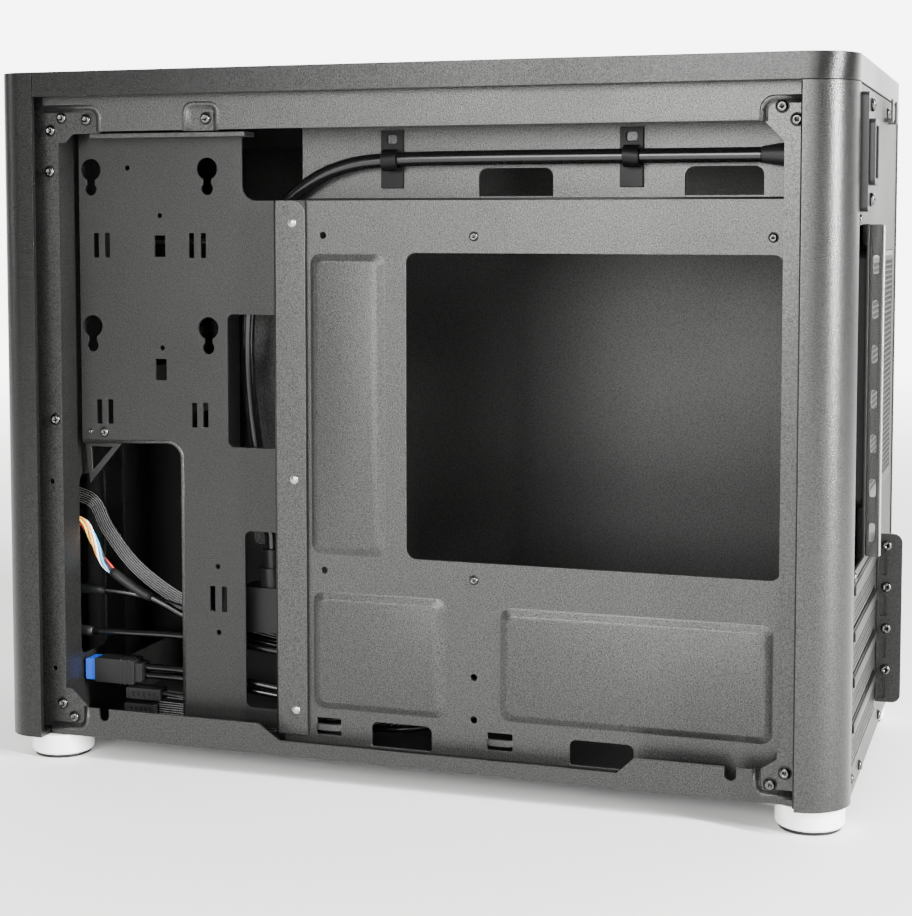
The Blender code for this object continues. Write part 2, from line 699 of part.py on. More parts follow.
def make_power_inlet(plastic):
    """A mains inlet: a flange on the rear wall, the socket through it and its hollow mouth."""
    inboard, height = INLET_CENTRE
    flange = rear_window((inboard - 11.2, height - 25.5), (inboard + 11.2, height + 25.5), 2)
    socket = rear_window((inboard - 8, height - 13.6), (inboard + 8, height + 13.6), 1.5)
    mouth = rear_window((inboard - 6.2, height - 11.2), (inboard + 6.2, height + 11.2), 1.2)
    body = prism("y", along(0.5), along(-3.0), flange)
    neck = prism("y", along(20.0), along(0.0), socket)
    hollow = prism("y", along(15.0), along(-8.0), mouth)
    piece("power_inlet", plastic, body, add=[neck], cut=[hollow])


def make_strain_relief(rubber):
    """The moulded boot behind the inlet, tapering to the cord."""
    inboard, height = CORD_DEPTH, CORD_HEIGHT
    profile = [(5.6, along(20.3)), (5.7, along(31.5)), (5.3, along(33.0)), (3.7, along(43.5))]
    turned("inlet_strain_relief", rubber, profile, (across(inboard), above(height)), "y", 24)


# Forward distance, height and inboard depth along the mains lead, from the inlet's boot to the plug.
MAINS_ROUTE = [
    (43.8, CORD_HEIGHT, CORD_DEPTH), (66.0, CORD_HEIGHT, CORD_DEPTH), (102.0, CORD_HEIGHT, CORD_DEPTH),
    (144.0, CORD_HEIGHT, CORD_DEPTH), (173.0, 280.4, CORD_DEPTH), (203.0, 280.2, CORD_DEPTH),
    (217.4, CLIP_CORD_HEIGHT, CORD_DEPTH), (230.0, 278.8, CORD_DEPTH), (240.5, 276.6, CORD_DEPTH),
    (251.0, 272.8, CORD_DEPTH), (263.3, 265.2, 34.5), (275.0, 254.5, 36.0), (284.0, 240.0, 38.0),
    (290.5, 220.0, 40.5), (293.5, 196.0, 42.0), (293.0, 170.0, 42.5), (289.5, 142.0, 42.2),
    (284.5, 118.0, 41.8), (281.4, 100.0, 41.5), (281.0, 92.4, 41.5),
]


def make_mains_plug(plastic):
    """The plug for the power supply, hanging on the end of the cord."""
    forward, low, high = 281.0, 52.0, 74.0
    corners = [(33.2, forward - 13.4), (49.8, forward - 13.4), (49.8, forward + 13.4), (33.2, forward + 13.4)]
    body = upright(plan_view(rounded(corners, [1.5, 4.0, 4.0, 1.5])), low, high)
    neck_low = plan_view(circle((41.5, forward), 6.4, 20))
    neck_high = plan_view(circle((41.5, forward), 4.6, 20))
    made = piece("mains_plug", plastic, body, add=[upright(neck_low, high - 1, high + 9)])
    boolean(made, prisms_object("mains_plug_neck", [upright(neck_high, high + 8, high + 18)]), "UNION")


def make_cable_clip(name, plastic, forward, height):
    """A strap on the channel's back wall that wraps round the cord and stays open at the top."""
    wide = 10.8
    wall = CHANNEL_DEPTH - GAP
    face = wall - 1.4
    ring = []
    centre = (CORD_DEPTH, height)
    for radius, turns in ((5.1, range(13)), (3.9, range(12, -1, -1))):
        for i in turns:
            turn = math.radians(-14 - 246 * i / 12)
            ring.append((centre[0] + radius * math.cos(turn), centre[1] + radius * math.sin(turn)))
    plate = rear_window((face, 266.8), (wall, 293.7))
    body = through_rear(plate, forward - wide / 2, wide)
    strap = through_rear(rear_view(ring), forward - wide / 2 + 0.4, 7.4)
    window = side_window((forward - 2.6, 287.5), (forward + 2.6, 291.5), 1.2)
    piece(name, plastic, body, add=[strap], cut=[through_side(window, face - 2, 6)])


# ---------------------------------------------------------------- front connectors


USB_HEIGHTS = (88.0, 68.0)
JACK_HEIGHTS = (50.0, 38.0)
SLOT_SCREW_HEIGHTS = [94.2 - SLOT_PITCH * i for i in range(SLOT_COUNT)]


def make_front_board(board, shell, plastic):
    back = BOARD_FORWARD
    front = back + BOARD_THICKNESS
    face = rear_window((PORT_DEPTH - 9, 30), (PORT_DEPTH + 15, 128), 1)
    piece("front_io_board", board, prism("y", along(front), along(back), face))
    for name, height in zip(("usb_port_upper", "usb_port_lower"), USB_HEIGHTS):
        outer = rear_window((PORT_DEPTH - 3, height - 6.7), (PORT_DEPTH + 3, height + 6.7), 0.4)
        mouth = rear_window((PORT_DEPTH - 2.5, height - 6.2), (PORT_DEPTH + 2.5, height + 6.2), 0.2)
        body = prism("y", along(BODY_LENGTH - 0.4), along(front + GAP), outer)
        hollow = prism("y", along(BODY_LENGTH + 3), along(front + 2), mouth)
        piece(name, shell, body, cut=[hollow])
    for name, height in zip(("headphone_jack", "microphone_jack"), JACK_HEIGHTS):
        centre = (across(PORT_DEPTH), above(height))
        outer = [(4.0, along(BODY_LENGTH - 0.4)), (4.0, along(front + GAP))]
        made = turned(name, plastic, outer, centre, "y", 20)
        socket = rear_view(circle((PORT_DEPTH, height), 1.9, 16))
        bore = prism("y", along(BODY_LENGTH + 3), along(front + 3), socket)
        boolean(made, prisms_object(name + "_bore", [bore]), "DIFFERENCE")


def make_buttons(metal, plastic):
    """Both caps are held behind the front wall by a collar, with room behind them to travel."""
    wall_back = BODY_LENGTH - FRONT_WALL
    for name, material_, height, radius, collar in (
        ("power_button", metal, POWER_HEIGHT, 6.0, 7.6),
        ("reset_button", plastic, RESET_HEIGHT, 2.0, 3.2),
    ):
        face = along(BODY_LENGTH - 0.2)
        profile = [(radius - 0.4, face), (radius, face + 0.4), (radius, along(wall_back - GAP))]
        profile += [(collar, along(wall_back - GAP)), (collar, along(wall_back - 1.8))]
        profile += [(radius - 1, along(wall_back - 1.8)), (radius - 1, along(wall_back - 7.0))]
        centre = (across(PORT_DEPTH), above(height))
        turned(name, material_, profile, centre, "y", 24, (centre[0], face, centre[1]))


# Forward distance, height and inboard depth along each lead, from the board to its plug.
USB_LEAD_A = [
    (391.9, 46.0, 36.0), (378.0, 45.8, 36.0), (360.0, 46.3, 36.0), (340.0, 46.8, 36.0), (322.0, 46.6, 36.0),
    (300.0, 45.0, 36.0), (272.0, 42.6, 36.0), (240.0, 40.5, 36.0), (205.0, 38.5, 36.0), (180.0, 35.5, 36.0),
    (169.5, 28.0, 36.0), (172.0, 19.0, 36.0), (184.0, 14.4, 36.0), (205.0, 15.0, 36.0), (240.0, 19.5, 35.5),
    (275.0, 25.0, 34.0), (305.0, 29.0, 32.6), (326.0, 30.6, 32.0), (345.4, 30.8, 32.0),
]
USB_LEAD_B = [
    (391.9, 66.4, 40.0), (378.0, 66.2, 40.5), (360.0, 65.0, 42.0), (345.0, 62.0, 44.0), (325.0, 56.0, 46.5),
    (303.0, 48.5, 47.0), (288.0, 45.4, 47.0), (262.0, 43.0, 47.0), (235.0, 41.0, 47.0), (200.0, 39.0, 47.0),
    (176.0, 35.0, 47.0), (166.0, 27.0, 47.0), (168.0, 17.0, 47.0), (180.0, 11.6, 47.0), (205.0, 11.2, 46.0),
    (240.0, 14.6, 43.0), (275.0, 20.0, 38.5), (305.0, 24.4, 34.2), (326.0, 26.4, 32.4), (345.4, 26.7, 32.0),
]
AUDIO_LEAD = [
    (391.9, 103.4, 34.0), (380.5, 100.8, 34.0), (374.0, 90.5, 34.0), (368.0, 80.0, 34.0), (352.4, 69.5, 34.2),
    (337.6, 62.0, 36.4), (325.6, 55.4, 39.0), (310.0, 49.6, 40.6), (292.0, 46.0, 41.4), (262.0, 42.0, 41.5),
    (225.0, 37.0, 41.5), (198.0, 31.0, 41.5), (190.5, 22.0, 41.5), (196.0, 12.6, 41.5), (215.0, 8.2, 41.5),
    (245.0, 8.0, 40.6), (275.0, 10.5, 37.0), (302.0, 15.0, 31.6), (320.0, 18.0, 30.2), (334.8, 18.6, 30.0),
]
PANEL_RIBBON = [
    (391.9, 114.4, 44.0), (380.6, 110.0, 45.0), (374.0, 96.0, 47.0), (362.0, 79.5, 49.5), (348.0, 67.5, 52.0),
    (330.0, 57.0, 54.5), (308.0, 47.5, 56.5), (280.0, 42.0, 57.0), (250.0, 38.0, 57.0), (225.0, 32.0, 57.0),
    (214.5, 23.0, 57.0), (217.0, 12.4, 56.0), (231.0, 6.6, 53.0), (255.0, 4.6, 47.0), (280.0, 5.6, 40.0),
    (304.0, 8.4, 33.0), (322.0, 10.6, 30.4), (337.4, 11.1, 30.0),
]


def make_lead_plugs(plastic, blue):
    """The board-end plugs of the front leads: the wide data plug and two small header plugs."""
    shell = side_view(rectangle((345.8, 22.8), (371.4, 34.6), 0.8))
    tip = side_view(rectangle((371.0, 24.0), (376.6, 33.6), 0.6))
    body = through_side(shell, 27.0, 10.0)
    piece("usb3_plug", plastic, body, add=[through_side(tip, 26.2, 11.6)])
    upper = side_view(rectangle((335.1, 15.9), (353.4, 21.2), 0.4))
    piece("audio_plug", plastic, through_side(upper, 25.4, 9.0))
    lower = side_view(rectangle((337.7, 8.7), (354.4, 13.4), 0.4))
    piece("panel_plug", plastic, through_side(lower, 26.0, 8.0))


# ---------------------------------------------------------------- feet


def make_feet(aluminium, rubber):
    places = {
        "front_right": (21.0, 386.0),
        "front_left": (WIDTH - 21.0, 386.0),
        "rear_right": (21.0, 17.5),
        "rear_left": (WIDTH - 21.0, 17.5),
    }
    for corner, (inboard, forward) in places.items():
        centre = (across(inboard), along(forward))
        pad_top = 1.6
        pad = [(13.4, 0.0), (13.8, 0.5), (13.8, pad_top)]
        turned(f"foot_pad_{corner}", rubber, pad, centre, "z", 32)
        low, high = pad_top + 0.1, FOOT_HEIGHT - GAP
        foot = [(14.2, low), (15.2, low + 1.0), (15.2, high)]
        turned(f"foot_{corner}", aluminium, foot, centre, "z", 40)


def main():
    for old in list(bpy.data.objects):
        bpy.data.objects.remove(old)

    cover_metal = material("anodised_aluminium", (0.075, 0.075, 0.072), 0.42, 0.6)
    chassis_metal = material("painted_steel", (0.085, 0.085, 0.082), 0.5, 0.3)
    bright_metal = material("satin_aluminium", (0.8, 0.8, 0.79), 0.3, 1.0)
    screw_metal = material("nickel_steel", (0.45, 0.45, 0.44), 0.3, 1.0)
    brass = material("brass", (0.72, 0.53, 0.25), 0.35, 1.0)
    black_plastic = material("black_plastic", (0.02, 0.02, 0.02), 0.45, 0.0)
    black_rubber = material("black_rubber", (0.015, 0.015, 0.015), 0.6, 0.0)
    board_green = material("circuit_board", (0.02, 0.09, 0.04), 0.5, 0.0)
    plug_blue = material("blue_plastic", (0.03, 0.16, 0.75), 0.4, 0.0)

    make_top_panel(cover_metal)
    make_front_panel(cover_metal)
    make_rear_post("rear_post_right", cover_metal, False)
    make_rear_post("rear_post_left", cover_metal, True)
    make_left_side_panel(cover_metal)

    make_bottom_chassis(chassis_metal)
    make_top_chassis(chassis_metal)
    make_front_frame(chassis_metal)
    make_drive_plate(chassis_metal)
    make_motherboard_tray(chassis_metal)
    make_channel_plate(chassis_metal)
    make_psu_bracket(chassis_metal)
    make_standoffs(brass)

    make_rear_plate(chassis_metal)
    make_rear_fan_grille(chassis_metal)
    make_io_opening_rib(chassis_metal)
    make_slot_bracket(chassis_metal)
    make_slot_covers(chassis_metal)
    make_slot_screws(screw_metal)
    make_fan_frame(black_plastic)
    make_fan_rotor(black_plastic)

    make_power_inlet(black_plastic)
    make_strain_relief(black_rubber)
    cord("mains_cord", black_rubber, MAINS_ROUTE, CORD_DIAMETER)
    make_mains_plug(black_plastic)
    make_cable_clip("cable_clip_front", black_plastic, 217.4, CLIP_CORD_HEIGHT)
    make_cable_clip("cable_clip_rear", black_plastic, 102.8, CORD_HEIGHT)

    make_front_board(board_green, screw_metal, black_plastic)
    make_buttons(bright_metal, black_plastic)
    cord("usb3_cable_a", black_rubber, USB_LEAD_A, LEAD_DIAMETER)
    cord("usb3_cable_b", black_rubber, USB_LEAD_B, LEAD_DIAMETER)
    cord("audio_cable", black_rubber, AUDIO_LEAD, LEAD_DIAMETER)
    cord("panel_ribbon", black_rubber, PANEL_RIBBON, LEAD_DIAMETER)
    make_lead_plugs(black_plastic, plug_blue)

    make_feet(bright_metal, black_rubber)


main()
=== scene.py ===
"""Looks for the empty computer case: camera, studio, materials, cords and the small details on each sheet."""

import math
import random

import bmesh
import bpy
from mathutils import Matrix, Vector


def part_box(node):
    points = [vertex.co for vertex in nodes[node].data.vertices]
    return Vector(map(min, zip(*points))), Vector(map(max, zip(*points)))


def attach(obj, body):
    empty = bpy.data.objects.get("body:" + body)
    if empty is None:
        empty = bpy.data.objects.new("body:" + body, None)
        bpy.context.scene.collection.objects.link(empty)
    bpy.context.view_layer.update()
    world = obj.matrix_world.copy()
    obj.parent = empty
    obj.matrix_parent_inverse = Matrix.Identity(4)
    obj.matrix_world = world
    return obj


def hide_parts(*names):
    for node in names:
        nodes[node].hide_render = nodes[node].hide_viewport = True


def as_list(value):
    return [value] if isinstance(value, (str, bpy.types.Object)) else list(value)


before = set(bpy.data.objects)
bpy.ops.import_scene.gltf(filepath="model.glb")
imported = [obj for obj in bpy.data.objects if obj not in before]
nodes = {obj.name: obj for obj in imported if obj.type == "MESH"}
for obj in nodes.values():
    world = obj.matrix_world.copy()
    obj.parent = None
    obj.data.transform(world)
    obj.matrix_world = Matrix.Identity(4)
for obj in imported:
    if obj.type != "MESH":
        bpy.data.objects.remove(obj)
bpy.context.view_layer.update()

METRES = 0.001


def low_corner(name):
    """A CAD node's lowest corner, in millimetres."""
    return [round(value / METRES, 3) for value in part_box(name)[0]]


def high_corner(name):
    """A CAD node's highest corner, in millimetres."""
    return [round(value / METRES, 3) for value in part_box(name)[1]]


# Millimetres, as in the CAD: inboard from the right side, forward from the rear face, up from the body's base.
RIGHT, REAR, _ = high_corner("top_panel")
FOOT_HEIGHT = low_corner("bottom_chassis")[2]


def depth_of(name):
    """How far inboard a node's right-hand face lies."""
    return RIGHT - high_corner(name)[0]


def middle(name):
    """The middle of a node, as inboard depth, forward distance and height."""
    x, y, z = ((low + high) / 2 for low, high in zip(low_corner(name), high_corner(name)))
    return RIGHT - x, REAR - y, z - FOOT_HEIGHT


def rear_middle(name):
    """The middle of a node as seen from the rear, as inboard depth and height."""
    inboard, _, height = middle(name)
    return inboard, height


# Each DEPTH is how far inboard a sheet's outer face lies. The slots are counted from the top one down, and
# SLOT_TOP and SLOT_SCREW_TOP are heights.
SHEET = 1.2
TRAY_DEPTH = depth_of("motherboard_tray")
STRIP_DEPTH = depth_of("drive_plate")
DRIVE_DEPTH = STRIP_DEPTH + 6.0
RAIL_DEPTH = depth_of("bottom_chassis")
FLANGE_DEPTH = depth_of("front_frame")
RIB_DEPTH = depth_of("io_opening_rib")
BRACKET_DEPTH = depth_of("slot_bracket")
SLOTS = 4
SLOT_TOP = rear_middle("slot_cover_1")[1]
SLOT_PITCH = SLOT_TOP - rear_middle("slot_cover_2")[1]
_, SLOT_SCREW_FORWARD, SLOT_SCREW_TOP = middle("slot_screw_1")
FAN_CENTRE = rear_middle("fan_frame")
INLET_CENTRE = rear_middle("power_inlet")

# Camera and light, in metres, degrees and watts. Each light has its place, target, size and power.
CAMERA_PLACE = (0.8889, 0.2799, 0.2644)
CAMERA_YAW = 18.198
CAMERA_PITCH = -4.006
CAMERA_LENS_MM = 72.46
CAMERA_SHIFT = -0.12
LIGHTS = {
    "key_light": ((1.75, -0.27, 0.55), (0.1, 0.05, 0.2), (0.6, 0.7), 27),
    "fill_light": ((1.55, 0.3, 0.6), (0.1, 0.15, 0.17), (0.7, 0.7), 16),
    "edge_light": ((0.62, 1.75, 0.85), (0.1, 0.19, 0.3), (0.14, 1.5), 205),
    "front_rim_light": ((0.7, -1.9, 0.8), (0.1, -0.19, 0.3), (0.25, 1.3), 9),
    "top_light": ((0.2, 0.0, 2.7), (0, 0, 0), (2.4, 2.4), 40),
}
FLOOR_HALF_SIDE = 40
FADE_START = 0.45
FADE_END = 2.6
BACKDROP = 7.0
BACKDROP_COLOUR = (0.97, 0.98, 0.96, 1)

# The world is bright round one direction and dim elsewhere. BRIGHT_FROM and BRIGHT_FULL are cosines of the
# angle to it.
TOWARD_BRIGHT = (-0.98, -0.1, 0.17)
BRIGHT_FROM = 0.3
BRIGHT_FULL = 0.85
DIM_SIDE = 0.15
BRIGHT_SIDE = 5.0

scene = bpy.context.scene
random.seed(7)


def across(inboard):
    """X of a distance inboard, in millimetres, as along's Y and above's Z are."""
    return RIGHT - inboard


def along(forward):
    """Y of a distance forward."""
    return REAR - forward


def above(height):
    """Z of a height above the body's base."""
    return FOOT_HEIGHT + height


# ---------------------------------------------------------------- camera and studio


def make_camera():
    """The photograph's viewpoint: on the open right side, behind the rear face and below the top."""
    data = bpy.data.cameras.new("camera")
    data.lens = CAMERA_LENS_MM
    data.shift_y = CAMERA_SHIFT
    data.clip_end = 200
    camera = bpy.data.objects.new("camera", data)
    scene.collection.objects.link(camera)
    camera.location = CAMERA_PLACE
    yaw, pitch = math.radians(CAMERA_YAW), math.radians(CAMERA_PITCH)
    look = Vector((-math.cos(yaw) * math.cos(pitch), -math.sin(yaw) * math.cos(pitch), math.sin(pitch)))
    camera.rotation_euler = look.to_track_quat("-Z", "Y").to_euler()
    scene.camera = camera


def area_light(name, spot, target, size, power):
    """A soft rectangular lamp, in metres and watts, that the camera doesn't see."""
    data = bpy.data.lights.new(name, "AREA")
    data.shape = "RECTANGLE"
    data.size, data.size_y = size
    data.energy = power
    light = bpy.data.objects.new(name, data)
    light.visible_camera = False
    scene.collection.objects.link(light)
    light.location = spot
    light.rotation_euler = (Vector(target) - Vector(spot)).to_track_quat("-Z", "Y").to_euler()


def make_studio():
    """The pale floor, the world's light and the lamps."""
    mesh = bmesh.new()
    corners = ((-1, -1), (1, -1), (1, 1), (-1, 1))
    mesh.faces.new([mesh.verts.new((FLOOR_HALF_SIDE * x, FLOOR_HALF_SIDE * y, 0)) for x, y in corners])
    data = bpy.data.meshes.new("floor")
    mesh.to_mesh(data)
    mesh.free()
    floor = bpy.data.objects.new("floor", data)
    scene.collection.objects.link(floor)
    floor.data.materials.append(floor_look())
    make_world()
    for name, settings in LIGHTS.items():
        area_light(name, *settings)


def floor_look():
    """Pale paper that turns into the backdrop's own brightness with distance, so that no horizon shows."""
    made = plain("floor_paper", (0.86, 0.86, 0.85), 0.85, 0.0)
    tree = made.node_tree
    position = tree.nodes.new("ShaderNodeTexCoord")
    distance = tree.nodes.new("ShaderNodeVectorMath")
    distance.operation = "LENGTH"
    tree.links.new(position.outputs["Object"], distance.inputs[0])
    fade = tree.nodes.new("ShaderNodeMapRange")
    fade.interpolation_type = "SMOOTHSTEP"
    fade.inputs["From Min"].default_value = FADE_START
    fade.inputs["From Max"].default_value = FADE_END
    tree.links.new(distance.outputs["Value"], fade.inputs["Value"])
    seen = tree.nodes.new("ShaderNodeLightPath")
    share = tree.nodes.new("ShaderNodeMath")
    share.operation = "MULTIPLY"
    tree.links.new(fade.outputs["Result"], share.inputs[0])
    tree.links.new(seen.outputs["Is Camera Ray"], share.inputs[1])
    glow = tree.nodes.new("ShaderNodeEmission")
    glow.inputs["Color"].default_value = BACKDROP_COLOUR
    glow.inputs["Strength"].default_value = BACKDROP
    blend = tree.nodes.new("ShaderNodeMixShader")
    tree.links.new(share.outputs["Value"], blend.inputs[0])
    tree.links.new(tree.nodes["Principled BSDF"].outputs["BSDF"], blend.inputs[1])
    tree.links.new(glow.outputs["Emission"], blend.inputs[2])
    tree.links.new(blend.outputs["Shader"], tree.nodes["Material Output"].inputs["Surface"])
    return made


def make_world():
    """Light from one broad side and a little from the rest. The camera sees an even pale backdrop instead."""
    world = bpy.data.worlds.new("studio")
    world.use_nodes = True
    tree = world.node_tree
    background = tree.nodes["Background"]
    direction = tree.nodes.new("ShaderNodeTexCoord")
    toward = tree.nodes.new("ShaderNodeVectorMath")
    toward.operation = "DOT_PRODUCT"
    toward.inputs[1].default_value = TOWARD_BRIGHT
    blend = tree.nodes.new("ShaderNodeMapRange")
    blend.interpolation_type = "SMOOTHSTEP"
    blend.inputs["From Min"].default_value = BRIGHT_FROM
    blend.inputs["From Max"].default_value = BRIGHT_FULL
    blend.inputs["To Min"].default_value = DIM_SIDE
    blend.inputs["To Max"].default_value = BRIGHT_SIDE
    tree.links.new(direction.outputs["Generated"], toward.inputs[0])
    tree.links.new(toward.outputs["Value"], blend.inputs["Value"])
    seen = tree.nodes.new("ShaderNodeLightPath")
    choice = tree.nodes.new("ShaderNodeMix")
    tree.links.new(seen.outputs["Is Camera Ray"], choice.inputs["Factor"])
    tree.links.new(blend.outputs["Result"], choice.inputs["A"])
    choice.inputs["B"].default_value = BACKDROP
    tree.links.new(choice.outputs["Result"], background.inputs["Strength"])
    background.inputs["Color"].default_value = BACKDROP_COLOUR
    scene.world = world


# ---------------------------------------------------------------- materials


def plain(name, colour, roughness, metallic):
    """A material with one colour and one roughness."""
    made = bpy.data.materials.new(name)
    made.use_nodes = True
    shader = made.node_tree.nodes["Principled BSDF"]
    shader.inputs["Base Color"].default_value = (*colour, 1)
    shader.inputs["Roughness"].default_value = roughness
    shader.inputs["Metallic"].default_value = metallic
    return made


def noise(tree, scale, detail):
    """A noise texture on the object's own coordinates."""
    position = tree.nodes.new("ShaderNodeTexCoord")
    texture = tree.nodes.new("ShaderNodeTexNoise")
    texture.inputs["Scale"].default_value = scale
    texture.inputs["Detail"].default_value = detail
    tree.links.new(position.outputs["Object"], texture.inputs["Vector"])
    return texture.outputs["Fac"]


def spread(tree, value, low, high):
    """The value moved from the middle of a noise's range to low and high."""
    node = tree.nodes.new("ShaderNodeMapRange")
    node.inputs["From Min"].default_value = 0.3
    node.inputs["From Max"].default_value = 0.7
    node.inputs["To Min"].default_value = low
    node.inputs["To Max"].default_value = high
    tree.links.new(value, node.inputs["Value"])
    return node.outputs["Result"]


GRAIN_DETAIL = 2
SMUDGE_SCALE = 9
SMUDGE_DETAIL = 3
RELIEF_HEIGHT = 0.0002


def surface(name, colour, roughness, metallic, grain, variation, bump, smudge=0.05, gloss=0.5):
    """A material with fine grain in its colour and height, and broad soft changes in its roughness."""
    made = plain(name, colour, roughness, metallic)
    tree = made.node_tree
    shader = tree.nodes["Principled BSDF"]
    shader.inputs["Specular IOR Level"].default_value = gloss
    fine = noise(tree, grain, GRAIN_DETAIL)
    broad = noise(tree, SMUDGE_SCALE, SMUDGE_DETAIL)
    shade = tree.nodes.new("ShaderNodeMix")
    shade.data_type = "RGBA"
    shade.inputs["A"].default_value = (*(c * (1 - variation) for c in colour), 1)
    shade.inputs["B"].default_value = (*(c * (1 + variation) for c in colour), 1)
    tree.links.new(spread(tree, fine, 0, 1), shade.inputs["Factor"])
    tree.links.new(shade.outputs["Result"], shader.inputs["Base Color"])
    tree.links.new(spread(tree, broad, roughness - smudge, roughness + smudge), shader.inputs["Roughness"])
    relief = tree.nodes.new("ShaderNodeBump")
    relief.inputs["Strength"].default_value = bump
    relief.inputs["Distance"].default_value = RELIEF_HEIGHT
    tree.links.new(fine, relief.inputs["Height"])
    tree.links.new(relief.outputs["Normal"], shader.inputs["Normal"])
    return made


cover_metal = surface("anodised_cover", (0.021, 0.021, 0.0205), 0.28, 0.75, 1800, 0.55, 0.45)
# A lighter copy of the covers' anodised metal: painted light on the rear posts.
post_metal_lit = surface("anodised_post_painted_light", (0.041, 0.041, 0.040), 0.28, 0.75, 1800, 0.5, 0.45)
chassis_metal = surface("powder_coat", (0.047, 0.047, 0.046), 0.33, 0.75, 1750, 0.6, 0.55)
# A darker copy of the chassis powder coat: painted shade on the bottom chassis and the front frame.
frame_metal_shaded = surface("powder_coat_frame_painted_shade", (0.036, 0.036, 0.035), 0.34, 0.75, 1750, 0.6, 0.55)
# A darker copy of the chassis powder coat: painted shade on the drive plate, the card bracket, its backing and
# the small brace.
plate_metal_shaded = surface("powder_coat_plate_painted_shade", (0.018, 0.018, 0.0175), 0.35, 0.6, 1750, 0.55, 0.4)
inner_metal = surface("cover_inside", (0.030, 0.030, 0.029), 0.42, 0.7, 1750, 0.5, 0.4)
# A darker copy of the chassis powder coat: painted shade that tones down the bright reflection on the rear
# wall, grille and slot covers.
rear_metal_shaded = surface("powder_coat_rear_painted_shade", (0.020, 0.020, 0.018), 0.42, 0.6, 1600, 0.3, 0.3)
satin_metal = surface("satin_aluminium", (0.96, 0.96, 0.95), 0.42, 0.15, 1800, 0.03, 0.1)
dark_screw = surface("dark_chrome_screw", (0.09, 0.09, 0.088), 0.20, 1.0, 900, 0.15, 0.05)
rivet_metal = surface("rivet_metal", (0.30, 0.30, 0.295), 0.28, 0.9, 900, 0.1, 0.05)
bright_screw = surface("nickel_screw", (0.42, 0.415, 0.40), 0.20, 1.0, 900, 0.08, 0.05)
brass_metal = surface("turned_brass", (0.72, 0.53, 0.25), 0.32, 1.0, 900, 0.08, 0.1)
black_plastic = surface("moulded_black_plastic", (0.007, 0.007, 0.0075), 0.38, 0.0, 1100, 0.2, 0.25, gloss=0.22)
clip_plastic = surface("clip_plastic", (0.0028, 0.0028, 0.003), 0.42, 0.0, 1100, 0.2, 0.25, gloss=0.14)
black_rubber = surface("black_rubber", (0.007, 0.007, 0.007), 0.45, 0.0, 900, 0.2, 0.3, gloss=0.25)
cord_skin = surface("cord_skin", (0.004, 0.004, 0.004), 0.20, 0.0, 500, 0.15, 0.06, gloss=0.4)
lead_skin = surface("lead_skin", (0.003, 0.003, 0.003), 0.19, 0.0, 900, 0.2, 0.12, smudge=0.03, gloss=0.5)
ribbon_skin = surface("ribbon_skin", (0.005, 0.005, 0.005), 0.2, 0.0, 900, 0.15, 0.05, smudge=0.03, gloss=0.6)
# A pale grey that paints the highlight along each ribbon wire's crest.
ribbon_painted_highlight = surface("ribbon_painted_highlight", (0.13, 0.13, 0.132), 0.3, 0.0, 900, 0.15, 0.05)
board_green = surface("solder_mask", (0.015, 0.08, 0.035), 0.35, 0.0, 600, 0.15, 0.1)
plug_blue = surface("blue_plastic", (0.008, 0.065, 0.42), 0.35, 0.0, 1100, 0.06, 0.1)
fan_plastic = surface("fan_plastic", (0.012, 0.012, 0.0125), 0.38, 0.0, 1000, 0.15, 0.15, gloss=0.35)
WIRE_COLOURS = {
    "blue": (0.03, 0.30, 0.62), "white": (0.85, 0.85, 0.82), "orange": (0.85, 0.30, 0.04),
    "yellow": (0.85, 0.62, 0.06), "red": (0.62, 0.03, 0.03), "black": (0.008, 0.008, 0.008),
}
wire_looks = {
    name: surface(f"{name}_wire", colour, 0.3, 0.0, 900, 0.05, 0.05) for name, colour in WIRE_COLOURS.items()
}

NODE_LOOKS = {
    "audio_plug": black_plastic, "cable_clip_front": clip_plastic, "cable_clip_rear": clip_plastic,
    "fan_frame": fan_plastic, "fan_rotor": fan_plastic, "front_io_board": board_green,
    "headphone_jack": black_plastic, "microphone_jack": black_plastic, "inlet_strain_relief": black_rubber,
    "mains_plug": black_plastic, "panel_plug": black_plastic, "power_button": satin_metal,
    "power_inlet": black_plastic, "reset_button": black_plastic, "usb3_plug": black_plastic,
    "usb_port_lower": bright_screw, "usb_port_upper": bright_screw, "top_panel": cover_metal,
    "front_panel": cover_metal, "rear_post_right": post_metal_lit, "rear_post_left": post_metal_lit,
    "left_side_panel": inner_metal, "bottom_chassis": frame_metal_shaded, "front_frame": frame_metal_shaded,
    "drive_plate": plate_metal_shaded, "slot_bracket": plate_metal_shaded, "rear_plate": rear_metal_shaded,
}
ROUND_NODES = ("foot", "standoff", "slot_screw", "inlet_strain_relief", "power_button", "reset_button")
ROUND_EDGE = 0.22
SHEET_EDGE = 0.3
WELD_DISTANCE = 0.00001
SHARP_ANGLE = math.radians(35)
LARGE_FACES_FIRST = 100


def look_of(name):
    """The material of a CAD node: its own from the table, its family's, or the chassis paint."""
    if name in NODE_LOOKS:
        return NODE_LOOKS[name]
    if name.startswith("foot_pad"):
        return black_rubber
    if name.startswith("foot"):
        return satin_metal
    if name.startswith("slot_screw"):
        return bright_screw
    if name.startswith("standoff"):
        return brass_metal
    return chassis_metal


def soften(obj, width, segments=2):
    """Joins split corners, rounds the sharp edges a little and shades the rest smooth."""
    weld = obj.modifiers.new("weld", "WELD")
    weld.merge_threshold = WELD_DISTANCE
    bevel = obj.modifiers.new("edge", "BEVEL")
    bevel.width = width * METRES
    bevel.segments = segments
    bevel.limit_method = "ANGLE"
    bevel.angle_limit = SHARP_ANGLE
    bevel.use_clamp_overlap = True
    even = obj.modifiers.new("even_shading", "WEIGHTED_NORMAL")
    even.weight = LARGE_FACES_FIRST
    obj.data.shade_smooth()


